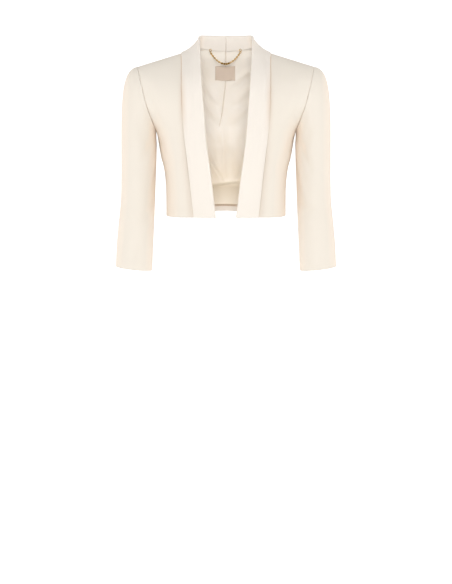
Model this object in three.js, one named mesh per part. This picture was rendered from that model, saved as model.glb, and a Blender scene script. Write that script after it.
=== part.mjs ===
// A cropped, open-fronted evening jacket with a shawl collar and three-quarter sleeves.
// It is filled out as if it were worn: the inside is hollow, and neck, front, hem and cuffs are open.
// Units are millimetres. +X is the wearer's left, -Y the front and +Z up.
// The origin lies midway between the two shoulder seams, where the jacket rests on its wearer.
import * as THREE from "three";

// Thicknesses and gaps
const SEAM_GAP = 0.3;
const CLOTH = 2;
const COLLAR_CLOTH = 2;
const LINING_CLOTH = 1;
const HEM_CLOTH = 1.5;
const LABEL_CLOTH = 1;
const LAID_GAP = 0.4;

// Levels
const SIDE_HEM = -365.5;
const FRONT_HEM = -364;
const BACK_HEM = -361;
const UNDERARM = -175;
const SHOULDER_TIP = -28;

// Shoulder line and neck
const RIDGE_AT_CENTRE = 34.3;
const SHOULDER_SLOPE = 0.31;
const NECK_RISE = 6;
const NECK_RISE_REACH = 84;
const RIDGE_ROUNDING = 10;
const NECK_HALF_WIDTH = 66;
const BACK_NECK = 5.5;
const FRONT_FALL_HEIGHT = 110;
const BACK_FALL_HEIGHT = 100;

// Numbers of steps in the nets of points
const ARMHOLE_STEPS = 12;
const SIDE_STEPS = 8;
const FRONT_COLUMNS = 10;
const NECK_COLUMNS = 4;
const SHOULDER_COLUMNS = 6;
const SLEEVE_HEAD_STEPS = 6;
const KEEP_OFF_TURNS = 4;

// A panel's rows: the share of the way up its inner edge that its side seam takes, and how its rows crowd
// above that.
const PANEL = { sideShare: 0.6, crowding: 1.7 };

// How a sleeve leaves its armhole and comes down into its first ring, at the underarm and at the shoulder
// tip: how far its lines run out, down and back before they bend, and how far above the ring they turn
// upright.
const HEAD = {
  out: { underarm: 1.5, tip: 35, power: 1.25 },
  down: { underarm: 10, tip: 4 },
  back: 2,
  upright: { underarm: 10, tip: 116, power: 1.8 },
};

// The body at each height: half its width, how far the front and the back stand off the shoulder line, and
// how square the rounding of its corners is.
const BODY = [
  { z: -370, half: 136, front: 104, back: 84, square: 2.5 },
  { z: -310, half: 136.5, front: 106, back: 85, square: 2.5 },
  { z: -280, half: 138.5, front: 107.5, back: 87, square: 2.5 },
  { z: -255, half: 142, front: 108.5, back: 90, square: 2.5 },
  { z: -235, half: 147.5, front: 109, back: 92.5, square: 2.5 },
  { z: -205, half: 153, front: 108.5, back: 96, square: 2.45 },
  { z: -175, half: 158, front: 105, back: 98.5, square: 2.4 },
  { z: -165, half: 163.5, front: 103.5, back: 99, square: 2.3 },
  { z: -150, half: 175, front: 101, back: 98.5, square: 2.2 },
  { z: -130, half: 193, front: 96.5, back: 97, square: 2.1 },
  { z: -108, half: 215.5, front: 91.5, back: 94, square: 2 },
  { z: -70, half: 239, front: 81, back: 84.5, square: 2 },
  { z: -50, half: 250, front: 74, back: 77, square: 2 },
  { z: -28, half: 252, front: 65, back: 67.5, square: 2 },
  { z: 0, half: 255, front: 52, back: 56.5, square: 2 },
  { z: 45, half: 260, front: 44, back: 50, square: 2 },
];

// The armhole seam: how far out it lies at each height.
const ARMHOLE = [
  { z: -175, out: 158 },
  { z: -165, out: 161.5 },
  { z: -150, out: 167 },
  { z: -130, out: 174.2 },
  { z: -108, out: 181 },
  { z: -70, out: 190.5 },
  { z: -50, out: 195 },
  { z: -28, out: 200 },
];

// Each front's opening: the roll line that the lapel folds on, the panel's own edge inside that fold, and
// the lapel's outer edge.
const OPENING = [
  { z: -370, roll: 22.6, panel: 25.8, lapel: 73 },
  { z: -364, roll: 23.2, panel: 26.4, lapel: 73.7 },
  { z: -269, roll: 34.4, panel: 37.6, lapel: 85.5 },
  { z: -231, roll: 39.6, panel: 42.8, lapel: 90 },
  { z: -185, roll: 45.2, panel: 48.4, lapel: 96.5 },
  { z: -157, roll: 47.4, panel: 50.6, lapel: 100.5 },
  { z: -110, roll: 51.2, panel: 54.4, lapel: 102.3 },
  { z: -65, roll: 54.6, panel: 58, lapel: 102.6 },
  { z: -42, roll: 56, panel: 60, lapel: 102.4 },
  { z: -20, roll: 57.4, panel: 62.4, lapel: 102.2 },
  { z: 0, roll: 58.6, panel: 64.2, lapel: 102 },
  { z: 16, roll: 59.2, panel: 66, lapel: 102 },
];

// The sleeve below its head, ring by ring: its outer and inner side, its front and its back, and how much
// lower its inner side lies than its outer side.
const SLEEVE = [
  { z: -205, outer: 238.4, inner: 157.8, front: -51, back: 53, slant: 0 },
  { z: -245, outer: 238.4, inner: 158.8, front: -51.5, back: 50, slant: 0.5 },
  { z: -290, outer: 238.6, inner: 160.6, front: -52.5, back: 45.5, slant: 1.5 },
  { z: -335, outer: 240, inner: 162.2, front: -53, back: 39, slant: 3 },
  { z: -380, outer: 244.5, inner: 164, front: -54, back: 32.5, slant: 4.5 },
  { z: -430, outer: 249, inner: 166.3, front: -55.5, back: 27, slant: 6.5 },
  { z: -486, outer: 252, inner: 168.8, front: -57, back: 22, slant: 9 },
];

// The collar round the neck, from the centre of the back to the front of the throat. `foot` is how far out
// the stand's foot lies, roll the fold's place, edge the free edge's place, `swell` how far the fall
// stands off a straight line, `faces` the compass direction that the fall looks in (90 is back, 0 is out
// and -90 front), and `tip` how far the fold leans from upright towards the front edge. At the throat
// `foot` is a height on the front's edge, and `sunk` is how far behind the front's skin the foot lies.
const COLLAR = [
  { foot: 0, rollX: 0, rollY: 42, rollZ: 41.5, edgeX: 0, edgeZ: -6, swell: 2.5, faces: 90, tip: 0 },
  { foot: 28, rollX: 27, rollY: 36.5, rollZ: 41.8, edgeX: 34, edgeZ: -6, swell: 2, faces: 72, tip: 0 },
  { foot: 50, rollX: 47, rollY: 25.5, rollZ: 42, edgeX: 66, edgeZ: -3.5, swell: 0.5, faces: 40, tip: 0 },
  { foot: 61, rollX: 57.5, rollY: 14, rollZ: 42, edgeX: 88, edgeZ: 1, swell: -2, faces: 15, tip: 0 },
  { foot: 66, rollX: 60.6, rollY: 3, rollZ: 39, edgeX: 102, edgeZ: 2.7, swell: -4, faces: 0, tip: 5 },
];
const THROAT = [
  {
    foot: 9, sunk: 1.2, rollX: 60.4, rollY: -9, rollZ: 29,
    edgeX: 102.2, edgeZ: -8, swell: -3, faces: -22, tip: 25,
  },
  {
    foot: -2, sunk: 2.9, rollX: 59.4, rollY: -25, rollZ: 11,
    edgeX: 102.4, edgeZ: -22, swell: -1, faces: -48, tip: 48,
  },
];
const LAPEL_ROWS = [-22, -46, -74, -106, -142, -180, -220, -260, -300, -335, -364];
const EDGE_DROP_AT_THROAT = 16;
const FOLD_HALF = 2;
const FOLD_DEPTH = 4;
const FOLD_SHOULDER = { down: 1, share: 0.75 };
const ROLL_SPAN = 3;
const LAPEL_HOOK = { least: 1.6, most: 7, grows: 50 };
const LAPEL_LIFT = 1.6;
const FALL_POINTS = 5;
const ROWS_PER_STATION = 2;

// Lining, hem, label and chain
const HEM_TURN = 14.5;
const BAG = { z: -303, half: 26, deep: 7, reach: 110 };
const PLEAT = { x: -2, half: 20, deep: 3.5, top: -30, foot: -290 };
const LABEL = { x: -2, top: -24, width: 47, height: 33.5, columns: 6, rows: 4, ease: 0.5 };
const CHAIN = { left: 33, right: -36, sag: 31, thick: 3, sides: 8, steps: 26 };
const RING = { radius: 2.6, wire: 0.6, height: 9.5, sides: 6, steps: 14 };

const CREPE = { color: 0xf6ecdf, roughness: 0.85, metalness: 0 };
const CREPE_SHADE = { color: 0xf4e9da, roughness: 0.85, metalness: 0 };
const SATIN = { color: 0xf1e7d2, roughness: 0.4, metalness: 0 };
const LABEL_SATIN = { color: 0xdccabb, roughness: 0.6, metalness: 0 };
const GOLD = { color: 0xcdaf5f, roughness: 0.3, metalness: 1 };

// Small maths
const mix = (a, b, t) => a + (b - a) * t;
const clamp = (value, low, high) => Math.min(high, Math.max(low, value));
const point = (x, y, z) => new THREE.Vector3(x, y, z);
const between = (a, b, t) => a.clone().lerp(b, t);
const moved = (from, direction, distance) => from.clone().addScaledVector(direction, distance);
const radians = (degrees) => (degrees * Math.PI) / 180;
const hill = (value) => (Math.abs(value) < 1 ? (1 - value * value) ** 2 : 0);

// The value of one column at height z, on a smooth curve through the table's rows, which are in rising
// order of z.
function read(table, column, z) {
  const last = table.length - 1;
  const place = clamp(z, table[0].z, table[last].z);
  let i = 0;
  while (i < last - 1 && table[i + 1].z < place) i++;
  const slope = (k) => {
    const a = table[Math.max(0, k - 1)];
    const b = table[Math.min(last, k + 1)];
    return (b[column] - a[column]) / (b.z - a.z);
  };
  const span = table[i + 1].z - table[i].z;
  const t = (place - table[i].z) / span;
  const [from, to] = [table[i][column], table[i + 1][column]];
  return (
    from * (2 * t ** 3 - 3 * t ** 2 + 1) +
    to * (3 * t ** 2 - 2 * t ** 3) +
    slope(i) * span * (t ** 3 - 2 * t ** 2 + t) +
    slope(i + 1) * span * (t ** 3 - t ** 2)
  );
}
const RINGS = [...SLEEVE].reverse();

// Height of the shoulder's ridge, which is the line of the shoulder seam, at a distance x from the centre.
function ridge(x) {
  const inNeck = Math.max(0, 1 - (x / NECK_RISE_REACH) ** 2);
  return RIDGE_AT_CENTRE - SHOULDER_SLOPE * Math.hypot(x, RIDGE_ROUNDING) + NECK_RISE * inNeck ** 2;
}

// Height of the back's neckline.
function neckline(x) {
  return mix(BACK_NECK, ridge(NECK_HALF_WIDTH), (x / NECK_HALF_WIDTH) ** 2);
}

// How far the body's skin stands off the plane of the shoulder seams, as a share of the body's depth at
// that height. The square of the share is used, because it runs on evenly below zero above the ridge.
function shareSquared(x, z, side) {
  const square = read(BODY, "square", z);
  const across = Math.max(0, 1 - (Math.abs(x) / read(BODY, "half", z)) ** square) ** (2 / square);
  const fall = side < 0 ? FRONT_FALL_HEIGHT : BACK_FALL_HEIGHT;
  const below = Math.min(1, (ridge(x) - z) / fall);
  return across * (1 - (1 - below) ** 2);
}
const deep = (z, side) => read(BODY, side < 0 ? "front" : "back", z);
const standOff = (x, z, side) => Math.sqrt(Math.max(0, shareSquared(x, z, side))) * deep(z, side);

// The point of the body's skin at (x, z). Front and back stand half a seam's gap to either side of the seams.
function skin(x, z, side) {
  return point(x, side * (standOff(x, z, side) + SEAM_GAP / 2), z);
}

// A form that is zero on the skin, below zero inside it and above zero outside, and its slope at a point.
const bodyForm = (x, y, z, side) => (y / deep(z, side)) ** 2 - shareSquared(x, z, side);
function bodySlope(x, y, z, side) {
  const step = 0.5;
  return point(
    bodyForm(x + step, y, z, side) - bodyForm(x - step, y, z, side),
    (4 * step * y) / deep(z, side) ** 2,
    bodyForm(x, y, z + step, side) - bodyForm(x, y, z - step, side),
  ).divideScalar(2 * step);
}
const facing = (x, z, side) => bodySlope(x, side * standOff(x, z, side), z, side).normalize();
const offSkin = (x, z, side, distance) => moved(skin(x, z, side), facing(x, z, side), distance);

// Moves a point out until it is at least a given distance off the skin.
function keepOff(at, distance) {
  for (let turn = 0; turn < KEEP_OFF_TURNS; turn++) {
    const side = at.y < 0 ? -1 : 1;
    const slope = bodySlope(at.x, at.y, at.z, side);
    const away = bodyForm(at.x, at.y, at.z, side) / slope.length();
    if (away < distance) at.addScaledVector(slope.normalize(), distance - away);
  }
  return at;
}

// Turns a list of quads' corners into one closed geometry with its faces pointing out.
function closedGeometry(corners, faces) {
  let volume = 0;
  const cross = new THREE.Vector3();
  for (const [a, b, c] of faces) {
    volume += corners[a].dot(cross.crossVectors(corners[b], corners[c]));
  }
  const index = faces.flatMap(([a, b, c]) => (volume > 0 ? [a, b, c] : [a, c, b]));
  const geometry = new THREE.BufferGeometry().setFromPoints(corners);
  geometry.setIndex(index);
  geometry.computeVertexNormals();
  return geometry;
}

// A wall of cloth between an outer and an inner net of points. `round` joins each row's end to its start.
function wall(outer, inner, round = false) {
  const rows = outer.length;
  const columns = outer[0].length;
  const corners = [...outer.flat(), ...inner.flat()];
  const at = (row, column, layer) => layer * rows * columns + row * columns + (column % columns);
  const faces = [];
  const quad = (a, b, c, d) => faces.push([a, b, c], [a, c, d]);
  const across = round ? columns : columns - 1;
  for (let r = 0; r < rows - 1; r++) {
    for (let c = 0; c < across; c++) {
      quad(at(r, c, 0), at(r, c + 1, 0), at(r + 1, c + 1, 0), at(r + 1, c, 0));
      quad(at(r, c, 1), at(r + 1, c, 1), at(r + 1, c + 1, 1), at(r, c + 1, 1));
    }
  }
  for (let c = 0; c < across; c++) {
    quad(at(0, c, 0), at(0, c, 1), at(0, c + 1, 1), at(0, c + 1, 0));
    quad(at(rows - 1, c, 0), at(rows - 1, c + 1, 0), at(rows - 1, c + 1, 1), at(rows - 1, c, 1));
  }
  if (!round) {
    for (let r = 0; r < rows - 1; r++) {
      quad(at(r, 0, 0), at(r + 1, 0, 0), at(r + 1, 0, 1), at(r, 0, 1));
      const end = columns - 1;
      quad(at(r, end, 0), at(r, end, 1), at(r + 1, end, 1), at(r + 1, end, 0));
    }
  }
  return closedGeometry(corners, faces);
}

// The directions square to a net of points, all pointing to the side that `sense` gives.
function netNormals(net, sense, round = false) {
  const columns = net[0].length;
  return net.map((row, r) =>
    row.map((_, c) => {
      const up = net[Math.min(net.length - 1, r + 1)][c].clone().sub(net[Math.max(0, r - 1)][c]);
      const next = round ? row[(c + 1) % columns] : row[Math.min(columns - 1, c + 1)];
      const before = round ? row[(c + columns - 1) % columns] : row[Math.max(0, c - 1)];
      return up.cross(next.clone().sub(before)).normalize().multiplyScalar(sense);
    }),
  );
}
const movedNet = (net, normals, distance) =>
  net.map((row, r) => row.map((at, c) => moved(at, normals[r][c], distance)));
const mirrored = (net) => net.map((row) => row.map((at) => point(-at.x, at.y, at.z)));

// The armhole's height at a turn round it: 0 is the shoulder tip, 180 the underarm.
function armholeHeight(turn) {
  return mix(UNDERARM, SHOULDER_TIP, (1 + Math.cos(radians(turn))) / 2);
}

// The rows of a body panel, from hem to shoulder, as shares of the way up at its inner and its outer end.
function panelRows() {
  const rows = [];
  const reach = SHOULDER_TIP - SIDE_HEM;
  for (let i = 0; i < SIDE_STEPS; i++) {
    const outer = ((UNDERARM - SIDE_HEM) * i) / SIDE_STEPS;
    rows.push({ inner: (PANEL.sideShare * i) / SIDE_STEPS, outer: outer / reach, armhole: false });
    if (i > 0) continue;
    rows.push({ inner: HEM_TURN / (BACK_NECK - BACK_HEM), outer: HEM_TURN / reach, armhole: false });
  }
  for (let i = 0; i <= ARMHOLE_STEPS; i++) {
    const height = armholeHeight(180 - (180 * i) / ARMHOLE_STEPS);
    const part = i / ARMHOLE_STEPS;
    rows.push({
      inner: mix(1, PANEL.sideShare, (1 - part) ** PANEL.crowding),
      outer: (height - SIDE_HEM) / reach,
      armhole: true,
    });
  }
  return rows;
}

// A net of points over half a body panel. `top` lists how far out each column ends on the upper edge,
// `topHeight` gives that edge's height, `hem` the hem's height at the inner end, and `innerEdge` how far
// out the panel begins.
function panelNet({ side, top, topHeight, hem, innerEdge }) {
  return panelRows().map(({ inner, outer, armhole }) => {
    const tipHeight = mix(SIDE_HEM, SHOULDER_TIP, outer);
    const outX = armhole ? read(ARMHOLE, "out", tipHeight) : read(BODY, "half", tipHeight);
    const innerHeight = mix(hem, topHeight(top[0]), inner);
    const inX = innerEdge(innerHeight);
    return top.map((topX, column) => {
      const part = column / (top.length - 1);
      const low = Math.sin((part * Math.PI) / 2);
      const high = (topX - top[0]) / (top[top.length - 1] - top[0]);
      const x = mix(inX, outX, mix(low, high, clamp(inner * 2 - 1, 0, 1)));
      const reach = (x - inX) / (outX - inX);
      const rise = mix(inner, outer, reach);
      const z = mix(mix(hem, SIDE_HEM, reach), topHeight(topX), rise);
      return { x, z: column === top.length - 1 ? tipHeight : z, side };
    });
  });
}

const skinNet = (places) => places.map((row) => row.map(({ x, z, side }) => skin(x, z, side)));
const skinFacing = (places) => places.map((row) => row.map(({ x, z, side }) => facing(x, z, side)));

// A wall on the body's skin, from its outer face inwards.
function skinWall(places, thickness, mirror = false) {
  const outer = skinNet(places);
  const inner = movedNet(outer, skinFacing(places), -thickness);
  return mirror ? wall(mirrored(outer), mirrored(inner)) : wall(outer, inner);
}

function frontPlaces() {
  const tip = read(ARMHOLE, "out", SHOULDER_TIP);
  const top = [];
  for (let i = 0; i <= FRONT_COLUMNS; i++) top.push(mix(NECK_HALF_WIDTH, tip, i / FRONT_COLUMNS));
  return panelNet({
    side: -1,
    top,
    topHeight: ridge,
    hem: FRONT_HEM,
    innerEdge: (z) => read(OPENING, "panel", z),
  });
}

function halfBackPlaces() {
  const tip = read(ARMHOLE, "out", SHOULDER_TIP);
  const top = [];
  for (let i = 0; i < NECK_COLUMNS; i++) top.push((NECK_HALF_WIDTH * i) / NECK_COLUMNS);
  for (let i = 0; i <= SHOULDER_COLUMNS; i++) top.push(mix(NECK_HALF_WIDTH, tip, i / SHOULDER_COLUMNS));
  const topHeight = (x) => (x < NECK_HALF_WIDTH ? neckline(x) : ridge(x));
  return panelNet({ side: 1, top, topHeight, hem: BACK_HEM, innerEdge: () => 0 });
}

// Both halves of a set of places that begins on the centre line.
function bothHalves(places) {
  return places.map((row) => {
    const other = row.slice(1).map(({ x, z, side }) => ({ x: -x, z, side }));
    return [...other.reverse(), ...row];
  });
}

// One sleeve: lines run from the armhole over the sleeve's head into upright rings down to the cuff.
function sleeveNet() {
  const underarmOut = read(ARMHOLE, "out", UNDERARM);
  const tipOut = read(ARMHOLE, "out", SHOULDER_TIP);
  const outwards = point(SHOULDER_TIP - UNDERARM, 0, underarmOut - tipOut).normalize();
  const count = 2 * ARMHOLE_STEPS;
  const ringPoint = (z, turn) => {
    const [outer, inner] = [read(RINGS, "outer", z), read(RINGS, "inner", z)];
    const [front, back] = [read(RINGS, "front", z), read(RINGS, "back", z)];
    const slant = read(RINGS, "slant", z);
    const [c, s] = [Math.cos(radians(turn)), Math.sin(radians(turn))];
    return point(
      mix(inner, outer, (1 + c) / 2),
      mix(back, front, (1 + s) / 2),
      z + (slant / 2) * c,
    );
  };
  const rows = [];
  for (let step = 0; step <= SLEEVE_HEAD_STEPS; step++) {
    const t = step / SLEEVE_HEAD_STEPS;
    const row = [];
    for (let k = 0; k < count; k++) {
      const turn = (360 * k) / count;
      const z = armholeHeight(turn);
      const side = turn < 180 ? -1 : 1;
      const start = skin(read(ARMHOLE, "out", z), z, side);
      if (turn === 0 || turn === 180) start.y = 0;
      start.addScaledVector(outwards, LAID_GAP);
      const upper = (1 + Math.cos(radians(turn))) / 2;
      const leave = point(
        mix(HEAD.out.underarm, HEAD.out.tip, upper ** HEAD.out.power),
        -HEAD.back * Math.sin(radians(turn)),
        -mix(HEAD.down.underarm, HEAD.down.tip, upper),
      );
      const end = ringPoint(RINGS[RINGS.length - 1].z, turn);
      const arrive = mix(HEAD.upright.underarm, HEAD.upright.tip, upper ** HEAD.upright.power);
      const curve = new THREE.CubicBezierCurve3(
        start,
        start.clone().add(leave),
        point(end.x, end.y, end.z + arrive),
        end,
      );
      row.push(curve.getPoint(t));
    }
    rows.push(row);
  }
  for (const { z } of SLEEVE.slice(1)) {
    rows.push(Array.from({ length: count }, (_, k) => ringPoint(z, (360 * k) / count)));
  }
  return rows;
}

function sleeveWall(mirror) {
  const outer = sleeveNet();
  const inner = movedNet(outer, netNormals(outer, -1, true), -CLOTH);
  return mirror ? wall(mirrored(outer), mirrored(inner), true) : wall(outer, inner, true);
}

// The folded end of a section: down one side of the fold, over it and down the other side.
function fold(roll, lean, out, half) {
  const at = (down, across) => moved(moved(roll, lean, -down), out, across);
  const shoulder = half * FOLD_SHOULDER.share;
  return [
    at(FOLD_DEPTH, -half),
    at(FOLD_SHOULDER.down, -shoulder),
    roll.clone(),
    at(FOLD_SHOULDER.down, shoulder),
    at(FOLD_DEPTH, half),
  ];
}

// The foot of the collar's stand, above the middle of the back's thickness at its neckline.
function standFoot(x) {
  const foot = skin(x, neckline(x), 1);
  foot.addScaledVector(point(foot.x, foot.y, 0).normalize(), -CLOTH / 2);
  foot.z += SEAM_GAP;
  return foot;
}

// A section of the collar at the neck: up the stand, over the fold and down the fall to its free edge.
function neckSection(row, footPoint) {
  const out = point(Math.cos(radians(row.faces)), Math.sin(radians(row.faces)), 0);
  const lean = point(0, 0, Math.cos(radians(row.tip)));
  lean.addScaledVector(point(out.y, -out.x, 0), Math.sin(radians(row.tip)));
  const roll = point(row.rollX, row.rollY, row.rollZ);
  const side = row.faces > 0 ? 1 : -1;
  const edge = offSkin(row.edgeX, row.edgeZ, side, LAID_GAP + COLLAR_CLOTH / 2);
  const turn = fold(roll, lean, out, FOLD_HALF);
  const fallTop = turn[turn.length - 1];
  const along = edge.clone().sub(fallTop).normalize();
  const swelling = moved(out, along, -out.dot(along)).normalize();
  const falls = [];
  for (let i = 1; i <= FALL_POINTS; i++) {
    const t = i / FALL_POINTS;
    falls.push(moved(between(fallTop, edge, t), swelling, row.swell * 4 * t * (1 - t)));
  }
  return [footPoint, between(footPoint, turn[0], 0.5), ...turn, ...falls];
}

// A section of the lapel: a short hook inside the front, the fold round its edge, and the lapel lying on it.
function lapelSection(z) {
  const rollX = read(OPENING, "roll", z);
  const inPlane = offSkin(rollX, z, -1, -CLOTH / 2);
  const out = facing(rollX, z, -1);
  const lean = skin(rollX - ROLL_SPAN, z, -1).sub(skin(rollX + ROLL_SPAN, z, -1)).normalize();
  const half = CLOTH / 2 + LAID_GAP + COLLAR_CLOTH / 2;
  const turn = fold(inPlane, lean, out, half);
  const grown = clamp((LAPEL_ROWS[0] - z) / LAPEL_HOOK.grows, 0, 1);
  const hookLength = mix(LAPEL_HOOK.least, LAPEL_HOOK.most, grown);
  const hook = (part) => offSkin(rollX + FOLD_DEPTH + part * hookLength, z, -1, -CLOTH / 2 - half);
  const upFront = clamp((z - FRONT_HEM) / (LAPEL_ROWS[0] - FRONT_HEM), 0, 1);
  const edgeZ = z - EDGE_DROP_AT_THROAT * upFront ** 2;
  const edgeX = read(OPENING, "lapel", edgeZ);
  const falls = [];
  for (let i = 1; i <= FALL_POINTS; i++) {
    const t = i / FALL_POINTS;
    const x = mix(rollX + FOLD_DEPTH, edgeX, t);
    const lift = LAID_GAP + COLLAR_CLOTH / 2 + LAPEL_LIFT * 4 * t * (1 - t);
    falls.push(offSkin(x, mix(z, edgeZ, t), -1, lift));
  }
  return [hook(1), hook(0.5), ...turn, ...falls];
}

// The collar's sections from the centre of the back to the hem, with further ones between on smooth curves.
function collarNet() {
  const stations = COLLAR.map((row) => neckSection(row, standFoot(row.foot)));
  for (const row of THROAT) {
    const x = read(OPENING, "panel", row.foot);
    const foot = offSkin(x, row.foot, -1, -row.sunk);
    foot.x -= COLLAR_CLOTH / 2 + 2 * SEAM_GAP;
    foot.z += SEAM_GAP;
    stations.push(neckSection(row, foot));
  }
  for (const z of LAPEL_ROWS) stations.push(lapelSection(z));
  const lengthwise = (column) => new THREE.CatmullRomCurve3(stations.map((row) => row[column]));
  const curves = stations[0].map((_, column) => lengthwise(column));
  const rows = [];
  const count = (stations.length - 1) * ROWS_PER_STATION;
  for (let i = 0; i <= count; i++) rows.push(curves.map((curve) => curve.getPoint(i / count)));
  const fallStart = stations[0].length - FALL_POINTS;
  for (const row of rows) row.slice(fallStart).forEach((at) => keepOff(at, LAID_GAP + COLLAR_CLOTH / 2));
  for (const at of rows[0]) at.x = SEAM_GAP / 2;
  return rows;
}

function collarWall(mirror) {
  const middle = collarNet();
  const normals = netNormals(middle, 1);
  for (const normal of normals[0]) normal.setX(0).normalize();
  const outer = movedNet(middle, normals, COLLAR_CLOTH / 2);
  const inner = movedNet(middle, normals, -COLLAR_CLOTH / 2);
  return mirror ? wall(mirrored(outer), mirrored(inner)) : wall(outer, inner);
}

// How far the lining hangs off the back: a soft bag near the hem and a long swell along its centre pleat.
function slack(x, z) {
  const bag = BAG.deep * hill((z - BAG.z) / BAG.half) * hill(x / BAG.reach);
  const along = clamp((z - PLEAT.foot) / (PLEAT.top - PLEAT.foot), 0, 1);
  return bag + PLEAT.deep * hill((x - PLEAT.x) / PLEAT.half) * Math.sin(Math.PI * along);
}
const LINING_INSET = CLOTH + LAID_GAP;

// The lining and the turned-up hem follow the back's own points, moved in. They part at the back's second
// row.
function insideBack(rows, lift, inset) {
  return rows.map((row) =>
    row.map(({ x, z, side }) => {
      const at = offSkin(x, z, side, -inset(x, z));
      at.z += lift;
      return at;
    }),
  );
}

function liningWall() {
  const rows = bothHalves(halfBackPlaces()).slice(1);
  const outer = insideBack(rows, SEAM_GAP / 2, (x, z) => LINING_INSET + slack(x, z));
  const inner = insideBack(rows, SEAM_GAP / 2, (x, z) => LINING_INSET + LINING_CLOTH + slack(x, z));
  return wall(outer, inner);
}

function hemWall() {
  const rows = bothHalves(halfBackPlaces()).slice(0, 2);
  const outer = insideBack(rows, -SEAM_GAP / 2, () => CLOTH + SEAM_GAP);
  const inner = insideBack(rows, -SEAM_GAP / 2, () => CLOTH + SEAM_GAP + HEM_CLOTH);
  return wall(outer, inner);
}

// The label lies on the lining, below the middle of the back neck, eased off it by the flatness of the
// lining's faces.
function labelWall() {
  const [outer, inner] = [[], []];
  for (let r = 0; r <= LABEL.rows; r++) {
    const z = LABEL.top - (LABEL.height * r) / LABEL.rows;
    const [outerRow, innerRow] = [[], []];
    for (let c = 0; c <= LABEL.columns; c++) {
      const x = LABEL.x + LABEL.width * (c / LABEL.columns - 0.5);
      const inset = LINING_INSET + LINING_CLOTH + LAID_GAP + LABEL.ease + slack(x, z);
      outerRow.push(offSkin(x, z, 1, -inset));
      innerRow.push(offSkin(x, z, 1, -inset - LABEL_CLOTH));
    }
    outer.push(outerRow);
    inner.push(innerRow);
  }
  return wall(outer, inner);
}

// The direction out of the collar's stand at x, seen from above.
function standFacing(x) {
  const along = standFoot(Math.abs(x) + 1).sub(standFoot(Math.abs(x) - 1));
  return point(-Math.sign(x) * along.y, Math.abs(along.x), 0).normalize();
}

// The middle of the ring that one end of the chain hangs from, at the seam of the lining and the collar's
// stand.
function ringCentre(x) {
  const out = Math.abs(x);
  const lining = offSkin(out, neckline(out), 1, -LINING_INSET - LINING_CLOTH);
  return moved(point(x, lining.y, RING.height), standFacing(x), -SEAM_GAP - RING.wire);
}

function ringGeometry(x) {
  const geometry = new THREE.TorusGeometry(RING.radius, RING.wire, RING.sides, RING.steps);
  geometry.rotateX(Math.PI / 2);
  const out = standFacing(x);
  geometry.rotateZ(Math.atan2(out.y, out.x) - Math.PI / 2);
  const centre = ringCentre(x);
  geometry.translate(centre.x, centre.y, centre.z);
  return geometry;
}

// The chain hangs in a catenary between its rings.
function chainGeometry() {
  const drop = RING.radius + RING.wire + SEAM_GAP + CHAIN.thick / 2;
  const [a, b] = [ringCentre(CHAIN.right), ringCentre(CHAIN.left)];
  const points = [];
  for (let i = 0; i <= CHAIN.steps; i++) {
    const t = i / CHAIN.steps;
    const at = between(a, b, t);
    at.z -= drop + (CHAIN.sag - drop) * 4 * t * (1 - t);
    points.push(at);
  }
  const section = new THREE.Shape();
  for (let i = 0; i <= CHAIN.sides; i++) {
    const turn = (2 * Math.PI * i) / CHAIN.sides;
    const [x, y] = [(Math.cos(turn) * CHAIN.thick) / 2, (Math.sin(turn) * CHAIN.thick) / 2];
    if (i === 0) section.moveTo(x, y);
    else section.lineTo(x, y);
  }
  return new THREE.ExtrudeGeometry(section, {
    steps: CHAIN.steps,
    extrudePath: new THREE.CatmullRomCurve3(points),
    bevelEnabled: false,
  });
}

const jacket = new THREE.Group();
jacket.name = "jacket";

function add(name, geometry, finish) {
  const mesh = new THREE.Mesh(geometry, new THREE.MeshStandardMaterial(finish));
  mesh.name = name;
  jacket.add(mesh);
}

add("front_left", skinWall(frontPlaces(), CLOTH), CREPE);
add("front_right", skinWall(frontPlaces(), CLOTH, true), CREPE);
add("back", skinWall(bothHalves(halfBackPlaces()), CLOTH), CREPE);
add("sleeve_left", sleeveWall(false), CREPE);
add("sleeve_right", sleeveWall(true), CREPE);
add("collar_left", collarWall(false), CREPE_SHADE);
add("collar_right", collarWall(true), CREPE_SHADE);
add("back_lining", liningWall(), SATIN);
add("back_hem_facing", hemWall(), CREPE);
add("neck_label", labelWall(), LABEL_SATIN);
add("chain_ring_left", ringGeometry(CHAIN.left), GOLD);
add("chain_ring_right", ringGeometry(CHAIN.right), GOLD);
add("hanger_chain", chainGeometry(), GOLD);

export default jacket;
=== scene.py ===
# Looks of a cropped, open-fronted evening jacket with a shawl collar, filled out as if it were worn.
# Sizes are in millimetres, and each mesh is brought to metres when it is made.
# +X is the wearer's left, -Y the front and +Z up.
import math

import bpy
import numpy as np
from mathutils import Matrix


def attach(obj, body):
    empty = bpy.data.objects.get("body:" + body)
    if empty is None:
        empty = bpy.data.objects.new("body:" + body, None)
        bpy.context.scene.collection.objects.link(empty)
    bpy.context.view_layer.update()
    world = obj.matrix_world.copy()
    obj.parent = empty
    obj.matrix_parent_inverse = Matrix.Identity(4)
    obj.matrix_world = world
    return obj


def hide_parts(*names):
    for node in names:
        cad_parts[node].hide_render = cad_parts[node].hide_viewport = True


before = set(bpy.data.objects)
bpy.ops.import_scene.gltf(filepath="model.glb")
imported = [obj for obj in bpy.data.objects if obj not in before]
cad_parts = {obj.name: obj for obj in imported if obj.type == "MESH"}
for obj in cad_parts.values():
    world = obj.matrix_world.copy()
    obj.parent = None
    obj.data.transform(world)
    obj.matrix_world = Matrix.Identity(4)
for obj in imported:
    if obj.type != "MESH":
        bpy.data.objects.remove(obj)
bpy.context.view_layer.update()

MM = 0.001

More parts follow.
